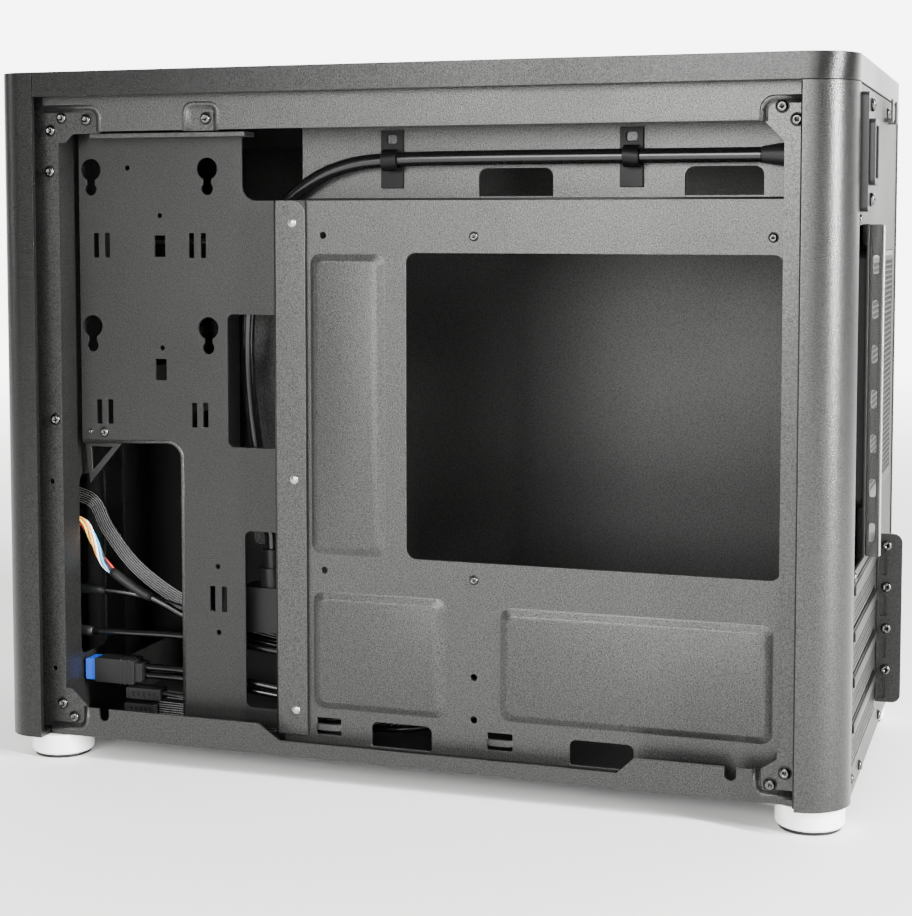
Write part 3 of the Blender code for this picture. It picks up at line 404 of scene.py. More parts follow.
def dress_nodes():
    """Gives every CAD node its material and soft edges."""
    for name, obj in nodes.items():
        obj.data.materials.clear()
        obj.data.materials.append(look_of(name))
        soften(obj, ROUND_EDGE if name.startswith(ROUND_NODES) else SHEET_EDGE)


# ---------------------------------------------------------------- outlines and solids


def rounded(corners, radius, steps=5):
    """A closed outline whose corners are arcs. radius is one number, or one for each corner."""
    count = len(corners)
    radii = radius if isinstance(radius, (list, tuple)) else [radius] * count
    outline = []
    for i, corner in enumerate(corners):
        here = Vector(corner)
        if radii[i] <= 0:
            outline.append(tuple(here))
            continue
        back = (Vector(corners[i - 1]) - here).normalized()
        ahead = (Vector(corners[(i + 1) % count]) - here).normalized()
        half = back.angle(ahead) / 2
        centre = here + (back + ahead).normalized() * (radii[i] / math.sin(half))
        first = here + back * (radii[i] / math.tan(half)) - centre
        last = here + ahead * (radii[i] / math.tan(half)) - centre
        for step in range(steps + 1):
            share = step / steps
            arm = (first * (1 - share) + last * share).normalized() * radii[i]
            outline.append(tuple(centre + arm))
    return outline


def rectangle(low, high, radius=0.0, steps=5):
    """A rectangle between two opposite corners, with its corners rounded."""
    return rounded([(low[0], low[1]), (high[0], low[1]), (high[0], high[1]), (low[0], high[1])], radius, steps)


def circle(centre, radius, sides=24, turn=0.0):
    """A regular outline with that many sides. turn is the angle of its first corner."""
    turns = (turn + 2 * math.pi * i / sides for i in range(sides))
    return [(centre[0] + radius * math.cos(t), centre[1] + radius * math.sin(t)) for t in turns]


def side_view(points):
    """(Y, Z) pairs from (forward, height) pairs."""
    return [(along(forward), above(height)) for forward, height in points]


def rear_view(points):
    """(X, Z) pairs from (inboard, height) pairs."""
    return [(across(inboard), above(height)) for inboard, height in points]


def plan_view(points):
    """(X, Y) pairs from (inboard, forward) pairs."""
    return [(across(inboard), along(forward)) for inboard, forward in points]


def place(axis, level, pair):
    """A point at a level along an axis. pair holds its two other coordinates."""
    if axis == "x":
        return Vector((level, pair[0], pair[1]))
    if axis == "y":
        return Vector((pair[0], level, pair[1]))
    return Vector((pair[0], pair[1], level))


def add_prism(mesh, axis, low, high, outline, holes=()):
    """Adds an outline with holes, pushed from low to high along an axis."""
    edges = []
    for loop in [outline, *holes]:
        points = [mesh.verts.new(place(axis, low, pair)) for pair in loop]
        edges += [mesh.edges.new(pair) for pair in zip(points, points[1:] + points[:1])]
    filled = bmesh.ops.triangle_fill(mesh, edges=edges, use_beauty=True)
    faces = [item for item in filled["geom"] if isinstance(item, bmesh.types.BMFace)]
    pushed = bmesh.ops.extrude_face_region(mesh, geom=faces)
    moved = [item for item in pushed["geom"] if isinstance(item, bmesh.types.BMVert)]
    bmesh.ops.translate(mesh, verts=moved, vec=place(axis, high - low, (0.0, 0.0)))


def join_rings(mesh, rings, cap_last=True):
    """Joins each ring of points to the next with four-sided faces, which it returns, and closes the ends.

    Without cap_last the last ring stays open.
    """
    count = len(rings[0])
    sides = []
    for near, far in zip(rings, rings[1:]):
        for i in range(count):
            after = (i + 1) % count
            sides.append(mesh.faces.new((near[i], near[after], far[after], far[i])))
    mesh.faces.new(rings[0])
    if cap_last:
        mesh.faces.new(rings[-1])
    return sides


def finished(name, mesh, look, body="chassis", edge=0.25):
    """Turns a mesh in millimetres into a piece that rides on a body."""
    bmesh.ops.recalc_face_normals(mesh, faces=mesh.faces)
    bmesh.ops.scale(mesh, verts=mesh.verts, vec=(METRES,) * 3)
    data = bpy.data.meshes.new(name)
    mesh.to_mesh(data)
    mesh.free()
    made = bpy.data.objects.new(name, data)
    scene.collection.objects.link(made)
    data.materials.append(look)
    if edge:
        soften(made, edge)
    else:
        data.shade_smooth()
    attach(made, body)
    return made


def add_turned(mesh, centre, axis, profile, sides=28):
    """Adds a turned solid: profile is (radius, distance along the axis), and its ends are capped."""
    rings = []
    for radius, level in profile:
        rings.append([mesh.verts.new(place(axis, level, pair)) for pair in circle(centre, radius, sides)])
    join_rings(mesh, rings)


# ---------------------------------------------------------------- screws and rivets


# A screw's domed head as (radius, rise), the rise of its flat top and how far its cross recess narrows,
# all as shares of its radius or width. MOST_TURN is the most that a recess is turned, in radians.
SCREW_DOME = [(1.0, 0.0), (1.0, 0.22), (0.94, 0.42), (0.82, 0.56), (0.66, 0.64)]
SCREW_TOP = 0.66
RECESS_TAPER = 0.45
SCREW_SIDES = 40
MOST_TURN = 1.5


def add_screw(mesh, axis, level, out, centre, radius, turn):
    """A pan-head screw with a cross recess. out is +1 or -1, the way its head faces along the axis."""
    slot_half, arm, depth = 0.16 * radius, 0.58 * radius, 0.42 * radius
    rings = []
    for share, rise in SCREW_DOME:
        ring = circle(centre, share * radius, SCREW_SIDES)
        rings.append([mesh.verts.new(place(axis, level + out * rise * radius, pair)) for pair in ring])
    join_rings(mesh, rings, cap_last=False)
    cross = []
    for quarter in range(4):
        angle = turn + quarter * math.pi / 2
        u = Vector((math.cos(angle), math.sin(angle)))
        v = Vector((-u.y, u.x))
        for pair in (u * arm - v * slot_half, u * arm + v * slot_half, u * slot_half + v * slot_half):
            cross.append(Vector(centre) + pair)
    top = level + out * SCREW_TOP * radius
    rim = [mesh.verts.new(place(axis, top, pair)) for pair in cross]
    inner = [Vector(centre) + (pair - Vector(centre)) * RECESS_TAPER for pair in cross]
    base = [mesh.verts.new(place(axis, top - out * depth, pair)) for pair in inner]
    edges = []
    for loop in (rings[-1], rim):
        for pair in zip(loop, loop[1:] + loop[:1]):
            edges.append(mesh.edges.get(pair) or mesh.edges.new(pair))
    bmesh.ops.triangle_fill(mesh, edges=edges, use_beauty=True)
    count = len(rim)
    for i in range(count):
        after = (i + 1) % count
        mesh.faces.new((rim[i], rim[after], base[after], base[i]))
    mesh.faces.new(base)


def side_screws(name, depth, places, radius, look):
    """Screws in a side sheet, each in a thin black ring of painted shade where the countersink's shadow falls.
    """
    mesh = bmesh.new()
    countersink_shade_rings = bmesh.new()
    for forward, height in places:
        centre = (along(forward), above(height))
        level = across(depth)
        add_screw(mesh, "x", level + 0.15, 1, centre, radius, random.uniform(0, MOST_TURN))
        # A thin black ring of painted shade round the head, where the countersink's shadow falls.
        ring = [(radius * 1.24, level - 0.1), (radius * 1.22, level + 0.1), (radius * 1.02, level + 0.2)]
        add_turned(countersink_shade_rings, centre, "x", ring, 32)
    finished(name + "_washers", countersink_shade_rings, black_plastic, edge=0)
    return finished(name, mesh, look, edge=0)


def rear_screws(name, seat, places, radius, look):
    """Screws in the rear wall, whose heads face backwards. seat is how far forward their seat lies."""
    mesh = bmesh.new()
    for inboard, height in places:
        centre = (across(inboard), above(height))
        add_screw(mesh, "y", along(seat), 1, centre, radius, random.uniform(0, MOST_TURN))
    return finished(name, mesh, look, edge=0)


def rivets(name, depth, places, radius):
    """Round-headed rivets in a side sheet."""
    mesh = bmesh.new()
    for forward, height in places:
        level = across(depth)
        profile = [(radius, level - 0.1), (radius, level + 0.15)]
        for i in range(1, 7):
            turn = math.radians(15 * i)
            profile.append((radius * math.cos(turn) + 0.02, level + 0.15 + 0.85 * math.sin(turn)))
        add_turned(mesh, (along(forward), above(height)), "x", profile, 32)
    return finished(name, mesh, rivet_metal, edge=0)


# ---------------------------------------------------------------- sheet details


# From a pad's foot to its top: share of the slope's width, and share of the rise.
PAD_SECTION = [(0.0, -0.05), (0.0, 0.0), (0.22, 0.12), (0.78, 0.88), (1.0, 1.0)]
PAD_RISE = 1.7
PAD_SLOPE = 4.0
PAD_CORNER = 5.0


def add_raised_pad(mesh, depth, low, high, rise, slope, radius):
    """A pressed pad: a flat top and sloping sides with soft shoulders, standing out to the right."""
    rings = []
    for inset, lift in PAD_SECTION:
        move = inset * slope
        near, far = (low[0] + move, low[1] + move), (high[0] - move, high[1] - move)
        outline = rectangle(near, far, max(radius - move * 0.5, 0.6), 6)
        level = across(depth) + lift * rise
        rings.append([mesh.verts.new(place("x", level, pair)) for pair in side_view(outline)])
    join_rings(mesh, rings)


def raised_pads():
    """The board tray's three pressed pads."""
    places = [((214.1, 95.1), (251.2, 236.4)), ((184.4, 21.3), (250.5, 77.5)), ((33.9, 22.6), (158.5, 75.5))]
    for number, (low, high) in enumerate(places, 1):
        mesh = bmesh.new()
        add_raised_pad(mesh, TRAY_DEPTH, low, high, PAD_RISE, PAD_SLOPE, PAD_CORNER)
        pad = finished(f"tray_pad_{number}", mesh, chassis_metal, edge=0)
        pad.data.set_sharp_from_angle(angle=math.radians(60))


def bridge_lances():
    """The strap of each cable-tie bridge, which stands a little proud of the tray."""
    for number, (low, high) in enumerate(((236.9, 249.0), (152.6, 164.5)), 1):
        mesh = bmesh.new()
        outline = [(low - 0.4, 0.3), (low - 0.4, -0.1), (low + 2.2, -1.2), (high - 2.2, -1.2)]
        outline += [(high + 0.4, -0.1), (high + 0.4, 0.3), (high - 2.0, -0.3), (low + 2.0, -0.3)]
        shape = plan_view([(TRAY_DEPTH + rise, forward) for forward, rise in outline])
        add_prism(mesh, "z", above(10.9), above(13.9), shape)
        finished(f"tray_bridge_{number}", mesh, chassis_metal, edge=0.2)


def add_rim(mesh, path, depth, section, side):
    """Sweeps a closed section along an open path on a side sheet. side turns it inwards or outwards."""
    rings = []
    last = len(path) - 1
    for i, here in enumerate(path):
        arms = []
        if i > 0:
            arms.append((Vector(here) - Vector(path[i - 1])).normalized())
        if i < last:
            arms.append((Vector(path[i + 1]) - Vector(here)).normalized())
        ahead = sum(arms, Vector((0, 0))).normalized()
        out = Vector((-ahead.y, ahead.x)) * side / max(ahead.dot(arms[0]), 0.5)
        ring = []
        for sideways, sunk in section:
            forward, height = Vector(here) + out * sideways
            ring.append(mesh.verts.new(place("x", across(depth + sunk), (along(forward), above(height)))))
        rings.append(ring)
    join_rings(mesh, rings)


# Sections of a pressed edge: distance sideways from the path, and how far the surface is sunk below the sheet.
SLOPED_RIM = [
    (-1.5, 0.05), (-1.3, -0.12), (-0.7, -0.3), (0.0, -0.24), (0.5, 0.15), (1.2, 1.1), (1.6, 1.35), (2.1, 1.46),
    (2.1, 1.7), (-1.5, 0.4),
]
FOLDED_RIM = [
    (-1.7, 0.05), (-1.5, -0.25), (-1.1, -0.4), (-0.4, -0.4), (0.0, -0.1), (0.2, 0.7), (0.1, 1.3), (-1.7, 0.6),
]


def pressed_rims():
    """The rounded shoulders where the rails step in to the corner plates, and the drive plate's folded edge."""
    corners = {
        "rim_top_front": (rounded([(355.2, 293.6), (355.2, 305.3), (385.0, 305.3)], [0, 5, 0]), -1),
        "rim_top_rear": (rounded([(39.6, 293.6), (39.6, 303.3), (23.2, 303.3)], [0, 5, 0]), 1),
        "rim_bottom_front": (rounded([(366.1, 14.6), (366.1, 3.9), (385.0, 3.9)], [0, 4.5, 0]), 1),
        "rim_bottom_rear": (rounded([(39.6, 14.6), (39.6, 3.9), (23.2, 3.9)], [0, 4.5, 0]), -1),
        "rim_tab": (
            rounded([(309.6, 293.6), (309.6, 305.7), (293.7, 305.7), (293.7, 293.6)], [0, 3.5, 3.5, 0]), 1,
        ),
    }
    for name, (path, side) in corners.items():
        mesh = bmesh.new()
        add_rim(mesh, path, RAIL_DEPTH, SLOPED_RIM, side)
        finished(name, mesh, chassis_metal, edge=0)
    mesh = bmesh.new()
    path = rounded([(374.4, 142.4), (321.2, 144.0), (321.2, 8.3)], [0, 7, 0])
    add_rim(mesh, path, DRIVE_DEPTH, FOLDED_RIM, 1)
    finished("drive_plate_fold", mesh, chassis_metal, edge=0)


def rail_tab():
    """The drive plate's tab behind the arched window of the upper rail, and the folded lip below it."""
    mesh = bmesh.new()
    low, high = (294.2, 293.6), (309.1, 305.2)
    arch = rounded([low, (high[0], low[1]), high, (low[0], high[1])], [0, 0, 2.5, 2.5])
    add_prism(mesh, "x", across(FLANGE_DEPTH + SHEET), across(FLANGE_DEPTH), side_view(arch))
    finished("drive_plate_tab", mesh, chassis_metal)
    mesh = bmesh.new()
    lip = side_view(rectangle((281.0, 290.9), (362.0, 293.1)))
    add_prism(mesh, "x", across(DRIVE_DEPTH), across(FLANGE_DEPTH + SHEET + 0.6), lip)
    finished("drive_plate_lip", mesh, chassis_metal)


def seams():
    """The drive plate's riveted strip, and thin black strips of painted shade beside it, above the tray and
    along the post's edge.
    """
    mesh = bmesh.new()
    outline = side_view(rounded([(268.0, 8.1), (268.0, 261.0), (253.2, 261.0), (253.2, 8.1)], [0, 0, 6, 0]))
    add_prism(mesh, "x", across(STRIP_DEPTH + 0.3), across(STRIP_DEPTH - 0.2), outline)
    finished("drive_plate_strip", mesh, chassis_metal, edge=0.2)
    mesh = bmesh.new()
    # A black strip of painted shade along the strip's edge.
    strip_edge_shadow = side_view(rectangle((268.1, 8.2), (268.8, 261)))
    add_prism(mesh, "x", across(STRIP_DEPTH + 1.0), across(STRIP_DEPTH - 0.05), strip_edge_shadow)
    # A black strip of painted shade in the gap at the post's edge.
    post_edge_shadow = side_view(rectangle((21.9, 1.0), (22.6, 309.5)))
    add_prism(mesh, "x", across(10.4), across(1.5), post_edge_shadow)
    # A black strip of painted shade along the tray's top edge.
    tray_top_shadow = side_view(rectangle((24.5, 261.1), (252.8, 262.0)))
    add_prism(mesh, "x", across(TRAY_DEPTH + 3.0), across(TRAY_DEPTH + 0.2), tray_top_shadow)
    # The strips above are painted shade, in the black rubber material.
    finished("seam_shadows", mesh, black_rubber, edge=0)


def all_screws():
    """The screws and rivets of the open side: corner plates, front flange, tray, drive plate and strip."""
    corner = [(375.7, 300.7), (362.4, 299.6), (381.8, 294.8), (382.5, 275.1), (379.5, 15.2), (373.3, 8.9)]
    corner += [(33.4, 8.1), (27.1, 13.7), (31.6, 300.0), (25.3, 294.3), (381.4, 155.2), (299.6, 299.3)]
    side_screws("corner_screws", FLANGE_DEPTH, corner, 2.5, dark_screw)
    side_screws("tray_screws", TRAY_DEPTH, [(171.2, 244.5), (36.1, 244.4), (171.0, 87.2)], 1.9, dark_screw)
    side_screws("drive_plate_screws", DRIVE_DEPTH, [(362.3, 148.2)], 2.2, dark_screw)
    side_screws("drive_plate_small_screws", DRIVE_DEPTH, [(369.9, 148.2)], 1.2, dark_screw)
    rivets("strip_rivets", STRIP_DEPTH, [(259.6, 250.6), (259.3, 130.0), (259.0, 19.7)], 2.2)


# ---------------------------------------------------------------- rear wall


def darken_holes(piece):
    """Gives the walls of the small holes a dark look, because no light reaches into them."""
    piece.data.materials.append(black_plastic)
    for face in piece.data.polygons:
        if abs(face.normal.y) < 0.5:
            face.material_index = 1
    return piece


def fan_grille():
    """The vent's fine hexagonal mesh, in place of the plain sheet."""
    half, border, across_flats, pitch = 57.7, 4, 2.3, 3.0
    mesh = bmesh.new()
    inboard, height = FAN_CENTRE
    outline = rectangle((inboard - half, height - half), (inboard + half, height + half), 5.7)
    holes = []
    row_pitch = pitch * math.sqrt(3) / 2
    rows = int((half - border) / row_pitch)
    columns = int((half - border) / pitch)
    for row in range(-rows, rows + 1):
        shift = pitch / 2 if row % 2 else 0
        for column in range(-columns, columns + (0 if row % 2 else 1)):
            centre = (inboard + column * pitch + shift, height + row * row_pitch)
            holes.append(rear_view(circle(centre, across_flats / math.sqrt(3), 6, math.pi / 6)))
    add_prism(mesh, "y", along(1.6), along(0.8), rear_view(outline), holes)
    grille = darken_holes(finished("rear_fan_mesh", mesh, rear_metal_shaded, edge=0))
    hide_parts("rear_fan_grille")


def slot_covers():
    """Each cover has a plain fold along its upper edge and rows of small holes under it."""
    rows, columns, hole_radius = 5, 42, 0.82
    row_pitch, column_pitch, odd_row_shift = 1.95, 2.25, 1.1
    first_column, first_row = 32.6, -7.2
    for number in range(SLOTS):
        centre = SLOT_TOP - SLOT_PITCH * number
        mesh = bmesh.new()
        holes = []
        for row in range(rows):
            for column in range(columns):
                shift = odd_row_shift if row % 2 else 0
                inboard = first_column + column * column_pitch + shift
                height = centre + first_row + row * row_pitch
                holes.append(rear_view(circle((inboard, height), hole_radius, 6)))
        outline = rear_view(rectangle((29.2, centre - 8.9), (129.8, centre + 8.9), 1))
        add_prism(mesh, "y", along(1.7), along(0.8), outline, holes)
        fold = rear_view(rectangle((29.4, centre + 4.4), (129.6, centre + 8.7), 0.8))
        add_prism(mesh, "y", along(0.9), along(-0.2), fold)
        piece = darken_holes(finished(f"slot_cover_sheet_{number + 1}", mesh, rear_metal_shaded, edge=0))
        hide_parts(f"slot_cover_{number + 1}")


def card_screws():
    """The four screws on the card bracket, whose heads face right, and the clamp strip behind its windows."""
    mesh = bmesh.new()
    shank = [(1.45, across(BRACKET_DEPTH + 6.0)), (1.45, across(BRACKET_DEPTH - 0.4))]
    for number in range(SLOTS):
        centre = (along(SLOT_SCREW_FORWARD), above(SLOT_SCREW_TOP - SLOT_PITCH * number))
        add_screw(mesh, "x", across(BRACKET_DEPTH - 0.1), 1, centre, 2.5, random.uniform(0, MOST_TURN))
        add_turned(mesh, centre, "x", shank, 20)
    heads = finished("card_screw_heads", mesh, dark_screw, edge=0)
    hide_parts(*(f"slot_screw_{number}" for number in range(1, SLOTS + 1)))
    mesh = bmesh.new()
    outline = side_view(rectangle((-10.2, 18.5), (-0.2, 98.5), 2.0))
    add_prism(mesh, "x", across(BRACKET_DEPTH + SHEET), across(BRACKET_DEPTH + 0.6), outline)
    finished("card_bracket_backing", mesh, plate_metal_shaded)


def inlet_details():
    """The inlet's raised socket rim, its three pins and the screws in its two ears."""
    inboard, height = INLET_CENTRE
    mesh = bmesh.new()
    rim = rear_view(rectangle((inboard - 8.2, height - 14.2), (inboard + 8.2, height + 14.2), 2.4))
    mouth = rear_view(rectangle((inboard - 6.2, height - 11.2), (inboard + 6.2, height + 11.2), 1.4))
    add_prism(mesh, "y", along(-2.9), along(-5.6), rim, [mouth])
    finished("inlet_rim", mesh, black_plastic, edge=0.4)
    mesh = bmesh.new()
    for offset in (-6.0, 0.0, 6.0):
        near = (inboard - 1.0 + abs(offset) / 4, height + offset - 2.0)
        blade = rectangle(near, (near[0] + 1.4, near[1] + 4.0), 0.3, 2)
        add_prism(mesh, "y", along(14.8), along(2.0), rear_view(blade))
    finished("inlet_pins", mesh, bright_screw, edge=0.2)
    rear_screws("inlet_screws", -3.0, [(inboard, height - 20.3), (inboard, height + 20.3)], 3.0, dark_screw)


def rear_details():
    """Screws along the rear wall, the lip of the board opening's rib in pale metal as a painted highlight, and
    the two hooks at the far top.
    """
    places = [(26.0, 252.0), (26.0, 98.0), (26.0, 9.0), (60.0, 5.6), (150.0, 5.6), (196.0, 9.0), (150.0, 304.0)]
    rear_screws("rear_wall_screws", 0.75, places, 2.4, dark_screw)
    mesh = bmesh.new()
    near, far = RIB_DEPTH - 0.6, RIB_DEPTH + 1.8
    outline = plan_view([(near, -4.9), (far, -4.9), (far, -6.2), (near, -6.2)])
    add_prism(mesh, "z", above(99.3), above(249.7), outline)
    # The lip takes the pale rivet metal: a painted highlight on its rounded edge.
    finished("board_opening_lip_painted_highlight", mesh, rivet_metal, edge=0.5)
    mesh = bmesh.new()
    for inboard in (138.0, 160.0):
        hook = [(0.6, 299.0), (-3.0, 299.0), (-3.0, 310.0), (-2.0, 310.0), (-2.0, 301.0), (0.6, 301.0)]
        add_prism(mesh, "x", across(inboard + 5.0), across(inboard), side_view(hook))
    finished("rear_hooks", mesh, chassis_metal, edge=0.2)


# ---------------------------------------------------------------- cords


def smooth_route(route, spacing):
    """Evenly spaced points in metres along a smooth curve through forward, height and inboard points."""
    route = [Vector((across(d), along(r), above(h))) for r, h, d in route]
    ends = [2 * route[0] - route[1], *route, 2 * route[-1] - route[-2]]
    fine = []
    substeps = 24
    for before, start, end, after in zip(ends, ends[1:], ends[2:], ends[3:]):
        for step in range(substeps):
            t = step / substeps
            fine.append(
                0.5
                * (
                    2 * start
                    + (end - before) * t
                    + (2 * before - 5 * start + 4 * end - after) * t * t
                    + (3 * start - before - 3 * end + after) * t * t * t
                )
            )
    fine.append(route[-1])
    lengths = [0.0]
    for start, end in zip(fine, fine[1:]):
        lengths.append(lengths[-1] + (end - start).length)
    count = max(2, round(lengths[-1] / spacing))
    points = []
    index = 0
    for i in range(count + 1):
        wanted = lengths[-1] * i / count
        while index < len(fine) - 2 and lengths[index + 1] < wanted:
            index += 1
        part = (wanted - lengths[index]) / (lengths[index + 1] - lengths[index])
        points.append(fine[index].lerp(fine[index + 1], part) * METRES)
    return points


def round_cord(name, points, diameter, look):
    """A round cord or wire through points in metres. diameter is in millimetres."""
    data = bpy.data.curves.new(name, "CURVE")
    data.dimensions = "3D"
    data.bevel_depth = diameter / 2 * METRES
    data.bevel_resolution = 5
    data.use_fill_caps = True
    spline = data.splines.new("POLY")
    spline.points.add(len(points) - 1)
    for target, point in zip(spline.points, points):
        target.co = (*point, 1.0)
    spline.use_smooth = True
    data.materials.append(look)
    made = bpy.data.objects.new(name, data)
    scene.collection.objects.link(made)
    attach(made, "chassis")
    return made


# The cords' routes, as forward distance, height and inboard depth.
CORD_DEPTH = 33.9
CORD_HEIGHT = 280.5
MAINS_ROUTE = [
    (43.8, CORD_HEIGHT, CORD_DEPTH), (66.0, CORD_HEIGHT, CORD_DEPTH), (102.0, CORD_HEIGHT, CORD_DEPTH),
    (144.0, CORD_HEIGHT, CORD_DEPTH), (173.0, 280.4, CORD_DEPTH), (203.0, 280.2, CORD_DEPTH),
    (217.4, 279.7, CORD_DEPTH), (230.0, 278.8, CORD_DEPTH), (240.5, 276.6, CORD_DEPTH),
    (251.0, 272.8, CORD_DEPTH), (263.3, 265.2, 34.5), (275.0, 254.5, 36.0), (284.0, 240.0, 38.0),
    (290.5, 220.0, 40.5), (293.5, 196.0, 42.0), (293.0, 170.0, 42.5), (289.5, 142.0, 42.2),
    (284.5, 118.0, 41.8), (281.4, 100.0, 41.5), (281.0, 92.4, 41.5),
]
USB_LEAD_A = [
    (391.9, 46.0, 36.0), (378.0, 45.8, 36.0), (360.0, 46.3, 36.0), (340.0, 46.8, 36.0), (322.0, 46.6, 36.0),
    (300.0, 45.0, 36.0), (272.0, 42.6, 36.0), (240.0, 40.5, 36.0), (205.0, 38.5, 36.0), (180.0, 35.5, 36.0),
    (169.5, 28.0, 36.0), (172.0, 19.0, 36.0), (184.0, 14.4, 36.0), (205.0, 15.0, 36.0), (240.0, 19.5, 35.5),
    (275.0, 25.0, 34.0), (305.0, 29.0, 32.6), (326.0, 30.6, 32.0), (345.4, 30.8, 32.0),
]
USB_LEAD_B = [
    (391.9, 66.4, 40.0), (378.0, 66.2, 40.5), (360.0, 65.0, 42.0), (345.0, 62.0, 44.0), (325.0, 56.0, 46.5),
    (303.0, 48.5, 47.0), (288.0, 45.4, 47.0), (262.0, 43.0, 47.0), (235.0, 41.0, 47.0), (200.0, 39.0, 47.0),
    (176.0, 35.0, 47.0), (166.0, 27.0, 47.0), (168.0, 17.0, 47.0), (180.0, 11.6, 47.0), (205.0, 11.2, 46.0),
    (240.0, 14.6, 43.0), (275.0, 20.0, 38.5), (305.0, 24.4, 34.2), (326.0, 26.4, 32.4), (345.4, 26.7, 32.0),
]
AUDIO_LEAD = [
    (391.9, 103.4, 34.0), (380.5, 100.8, 34.0), (374.0, 90.5, 34.0), (368.0, 80.0, 34.0), (352.4, 69.5, 34.2),
    (337.6, 62.0, 36.4), (325.6, 55.4, 39.0), (310.0, 49.6, 40.6), (292.0, 46.0, 41.4), (262.0, 42.0, 41.5),
    (225.0, 37.0, 41.5), (198.0, 31.0, 41.5), (190.5, 22.0, 41.5), (196.0, 12.6, 41.5), (215.0, 8.2, 41.5),
    (245.0, 8.0, 40.6), (275.0, 10.5, 37.0), (302.0, 15.0, 31.6), (320.0, 18.0, 30.2), (334.8, 18.6, 30.0),
]
PANEL_RIBBON = [
    (391.9, 114.4, 44.0), (380.6, 110.0, 45.0), (374.0, 96.0, 47.0), (362.0, 79.5, 49.5), (348.0, 67.5, 52.0),
    (330.0, 57.0, 54.5), (308.0, 47.5, 56.5), (280.0, 42.0, 57.0), (250.0, 38.0, 57.0), (225.0, 32.0, 57.0),
    (214.5, 23.0, 57.0), (217.0, 12.4, 56.0), (231.0, 6.6, 53.0), (255.0, 4.6, 47.0), (280.0, 5.6, 40.0),
    (304.0, 8.4, 33.0), (322.0, 10.6, 30.4), (337.4, 11.1, 30.0),
]


LEAD_SPACING = 2.5
RIBBON_SPACING = 3.0
MAINS_SPACING = 6.0
MAINS_DIAMETER = 6.8
CORE_DIAMETER = 1.25


def lead(name, node, route, diameter, on_it):
    """A round lead on its CAD solid's route. on_it makes the pieces that sit on it from its points."""
    points = smooth_route(route, LEAD_SPACING)
    made = round_cord(name, points, diameter, lead_skin)
    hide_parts(node)
    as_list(on_it(points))


def part_of(points, low, high):
    """The points of a path between two distances along it, in millimetres."""
    kept = []
    run = 0.0
    for i, point in enumerate(points):
        if i:
            run += (point - points[i - 1]).length / METRES
        if low <= run <= high:
            kept.append(point)
    return kept


def sleeve(name, points, radius, look, sides=20):
    """A short tube with tapered ends on a stretch of cord."""
    mesh = bmesh.new()
    rings = []
    last = len(points) - 1
    for i, point in enumerate(points):
        ahead = (points[min(i + 1, last)] - points[max(i - 1, 0)]).normalized()
        side = ahead.cross(Vector((1, 0, 0))).normalized()
        front = side.cross(ahead)
        wide = radius * (0.74 if i in (0, last) else 1.0)
        ring = []
        for step in range(sides):
            turn = 2 * math.pi * step / sides
            offset = (side * math.cos(turn) + front * math.sin(turn)) * wide
            ring.append(mesh.verts.new(point / METRES + offset))
        rings.append(ring)
    join_rings(mesh, rings)
    return finished(name, mesh, look, edge=0)


def wire_wrap(name, points, radius, names, turns=0.9):
    """Coloured cores twisted round a stretch of lead."""
    made = []
    last = len(points) - 1
    for number, colour in enumerate(names):
        phase = 2 * math.pi * number / len(names)
        core = []
        for i, point in enumerate(points):
            ahead = points[min(i + 1, last)] - points[max(i - 1, 0)]
            side = ahead.cross(Vector((1, 0, 0))).normalized()
            front = ahead.cross(side).normalized()
            turn = phase + 2 * math.pi * turns * i / len(points)
            core.append(point + (side * math.cos(turn) + front * math.sin(turn)) * radius * METRES)
        piece = round_cord(f"{name}_{number}", core, CORE_DIAMETER, wire_looks[colour])
        made.append(piece)
    return made


USB_PLUG_DEPTH = 32.0


def plug_body(name, sections, look):
    """A moulded plug that lies along the case: each section is (rear end, front end, bottom, top, width)."""
    mesh = bmesh.new()
    for back, front, low, high, wide in sections:
        outline = side_view(rectangle((back, low), (front, high), 0.8, 3))
        add_prism(mesh, "x", across(USB_PLUG_DEPTH + wide / 2), across(USB_PLUG_DEPTH - wide / 2), outline)
    return finished(name, mesh, look, edge=0.4)


def usb_plug():
    """The wide data plug: a ribbed grip with a collar, and its blue end."""
    sections = [(349.5, 371.2, 22.6, 34.6, 10.6), (345.6, 350.5, 24.0, 33.2, 8.6)]
    sections += [(351.5 + 2.4 * i, 352.7 + 2.4 * i, 22.2, 35.0, 11.0) for i in range(3)]
    shell = plug_body("usb3_plug_shell", sections, black_plastic)
    tip = plug_body("usb3_plug_end", [(371.0, 376.6, 23.4, 33.9, 9.4)], plug_blue)
    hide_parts("usb3_plug")
    return [shell, tip]


def header_plug(name, node, back, front, low, high):
    """A small header plug with a row of contact windows."""
    mesh = bmesh.new()
    windows = []
    window_count = 5
    for i in range(window_count):
        start = back + 2.0 + i * (front - back - 4.0) / window_count
        windows.append(side_view(rectangle((start, low + 1.6), (start + 1.5, high - 1.6), 0.2, 1)))
    outline = side_view(rectangle((back, low), (front, high), 0.5, 3))
    add_prism(mesh, "x", across(34.2), across(26.2), outline)
    add_prism(mesh, "x", across(26.6), across(25.7), outline, windows)
    made = finished(name, mesh, black_plastic, edge=0.3)
    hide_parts(node)
    return made


RIBBON_WIRES = 7
RIBBON_PITCH = 1.15
WIRE_STEPS = 6
# The steps of each wire that carry the painted highlight.
HIGHLIGHT_STEPS = (2, 3)


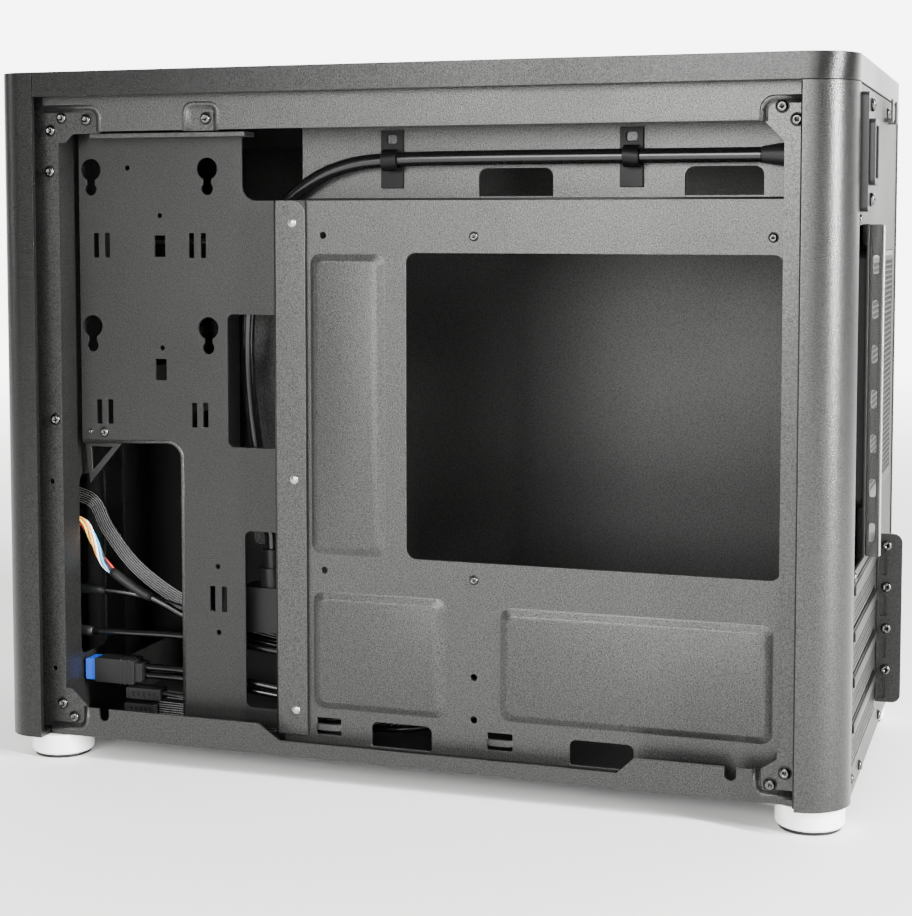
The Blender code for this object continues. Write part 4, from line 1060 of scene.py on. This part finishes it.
def ribbon(name, points, look):
    """Flat wires side by side, seen face on from the right, with a pale painted highlight along each wire's
    crest.
    """
    mesh = bmesh.new()
    rings = []
    last = len(points) - 1
    steps = RIBBON_WIRES * WIRE_STEPS
    for i, point in enumerate(points):
        ahead = (points[min(i + 1, last)] - points[max(i - 1, 0)]).normalized()
        side = ahead.cross(Vector((1, 0, 0))).normalized()
        front = side.cross(ahead).normalized()
        ring = []
        for face, order in ((1, range(steps + 1)), (-1, range(steps, -1, -1))):
            for step in order:
                share = step / steps
                bulge = 0.10 + 0.48 * abs(math.sin(math.pi * share * RIBBON_WIRES))
                offset = side * (share - 0.5) * RIBBON_WIRES * RIBBON_PITCH + front * face * bulge
                ring.append(mesh.verts.new(point / METRES + offset))
        rings.append(ring)
    for i, side_face in enumerate(join_rings(mesh, rings)):
        around = i % len(rings[0])
        # The crest faces take the pale grey: a painted highlight.
        side_face.material_index = int(around < steps and around % WIRE_STEPS in HIGHLIGHT_STEPS)
    made = finished(name, mesh, look, edge=0)
    made.data.materials.append(ribbon_painted_highlight)
    return made


LEAD_B_COLOURS = ("orange", "white", "blue", "red", "black")
AUDIO_COLOURS = ("blue", "white", "orange", "yellow", "red", "black")


def make_cords():
    """Each cord's surface takes the place of its plain solid, with what sits on it."""
    points = smooth_route(MAINS_ROUTE, MAINS_SPACING)
    mains = round_cord("mains_cord_skin", points, MAINS_DIAMETER, cord_skin)
    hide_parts("mains_cord")
    lead(
        "usb3_lead_a", "usb3_cable_a", USB_LEAD_A, 3.4,
        lambda points: usb_plug() + [sleeve("lead_a_boot", part_of(points, 0, 16), 2.6, black_rubber)],
    )
    lead(
        "usb3_lead_b", "usb3_cable_b", USB_LEAD_B, 3.2,
        lambda points: [
            sleeve("lead_b_boot", part_of(points, 0, 20), 2.6, black_rubber),
            *wire_wrap("lead_b_core", part_of(points, 378, 392), 1.3, LEAD_B_COLOURS),
        ],
    )
    lead(
        "audio_lead", "audio_cable", AUDIO_LEAD, 3.2,
        lambda points: [
            header_plug("audio_header", "audio_plug", 335.1, 353.4, 15.9, 21.4),
            sleeve("audio_heat_shrink", part_of(points, 38, 66), 2.4, black_rubber),
            *wire_wrap("audio_tail", part_of(points, 352, 379), 1.7, ["black"] * 5, 0.2),
            *wire_wrap("audio_core", part_of(points, 2, 41), 1.5, AUDIO_COLOURS),
        ],
    )
    points = smooth_route(PANEL_RIBBON, RIBBON_SPACING)
    flat = ribbon("panel_lead", points, ribbon_skin)
    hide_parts("panel_ribbon")
    header_plug("panel_header", "panel_plug", 337.7, 354.4, 8.5, 13.6)


def front_gusset():
    """The small three-sided brace at the top of the front opening."""
    mesh = bmesh.new()
    outline = side_view([(375.6, 142.5), (355.0, 142.5), (373.0, 122.0)])
    hole = side_view([(371.8, 140.4), (360.4, 140.4), (371.4, 128.6)])
    add_prism(mesh, "x", across(29.0), across(27.8), outline, [hole])
    finished("front_brace", mesh, plate_metal_shaded)


# ---------------------------------------------------------------- everything


make_camera()
make_studio()
dress_nodes()
make_cords()
fan_grille()
slot_covers()
raised_pads()
bridge_lances()
pressed_rims()
rail_tab()
seams()
all_screws()
card_screws()
inlet_details()
rear_details()
front_gusset()
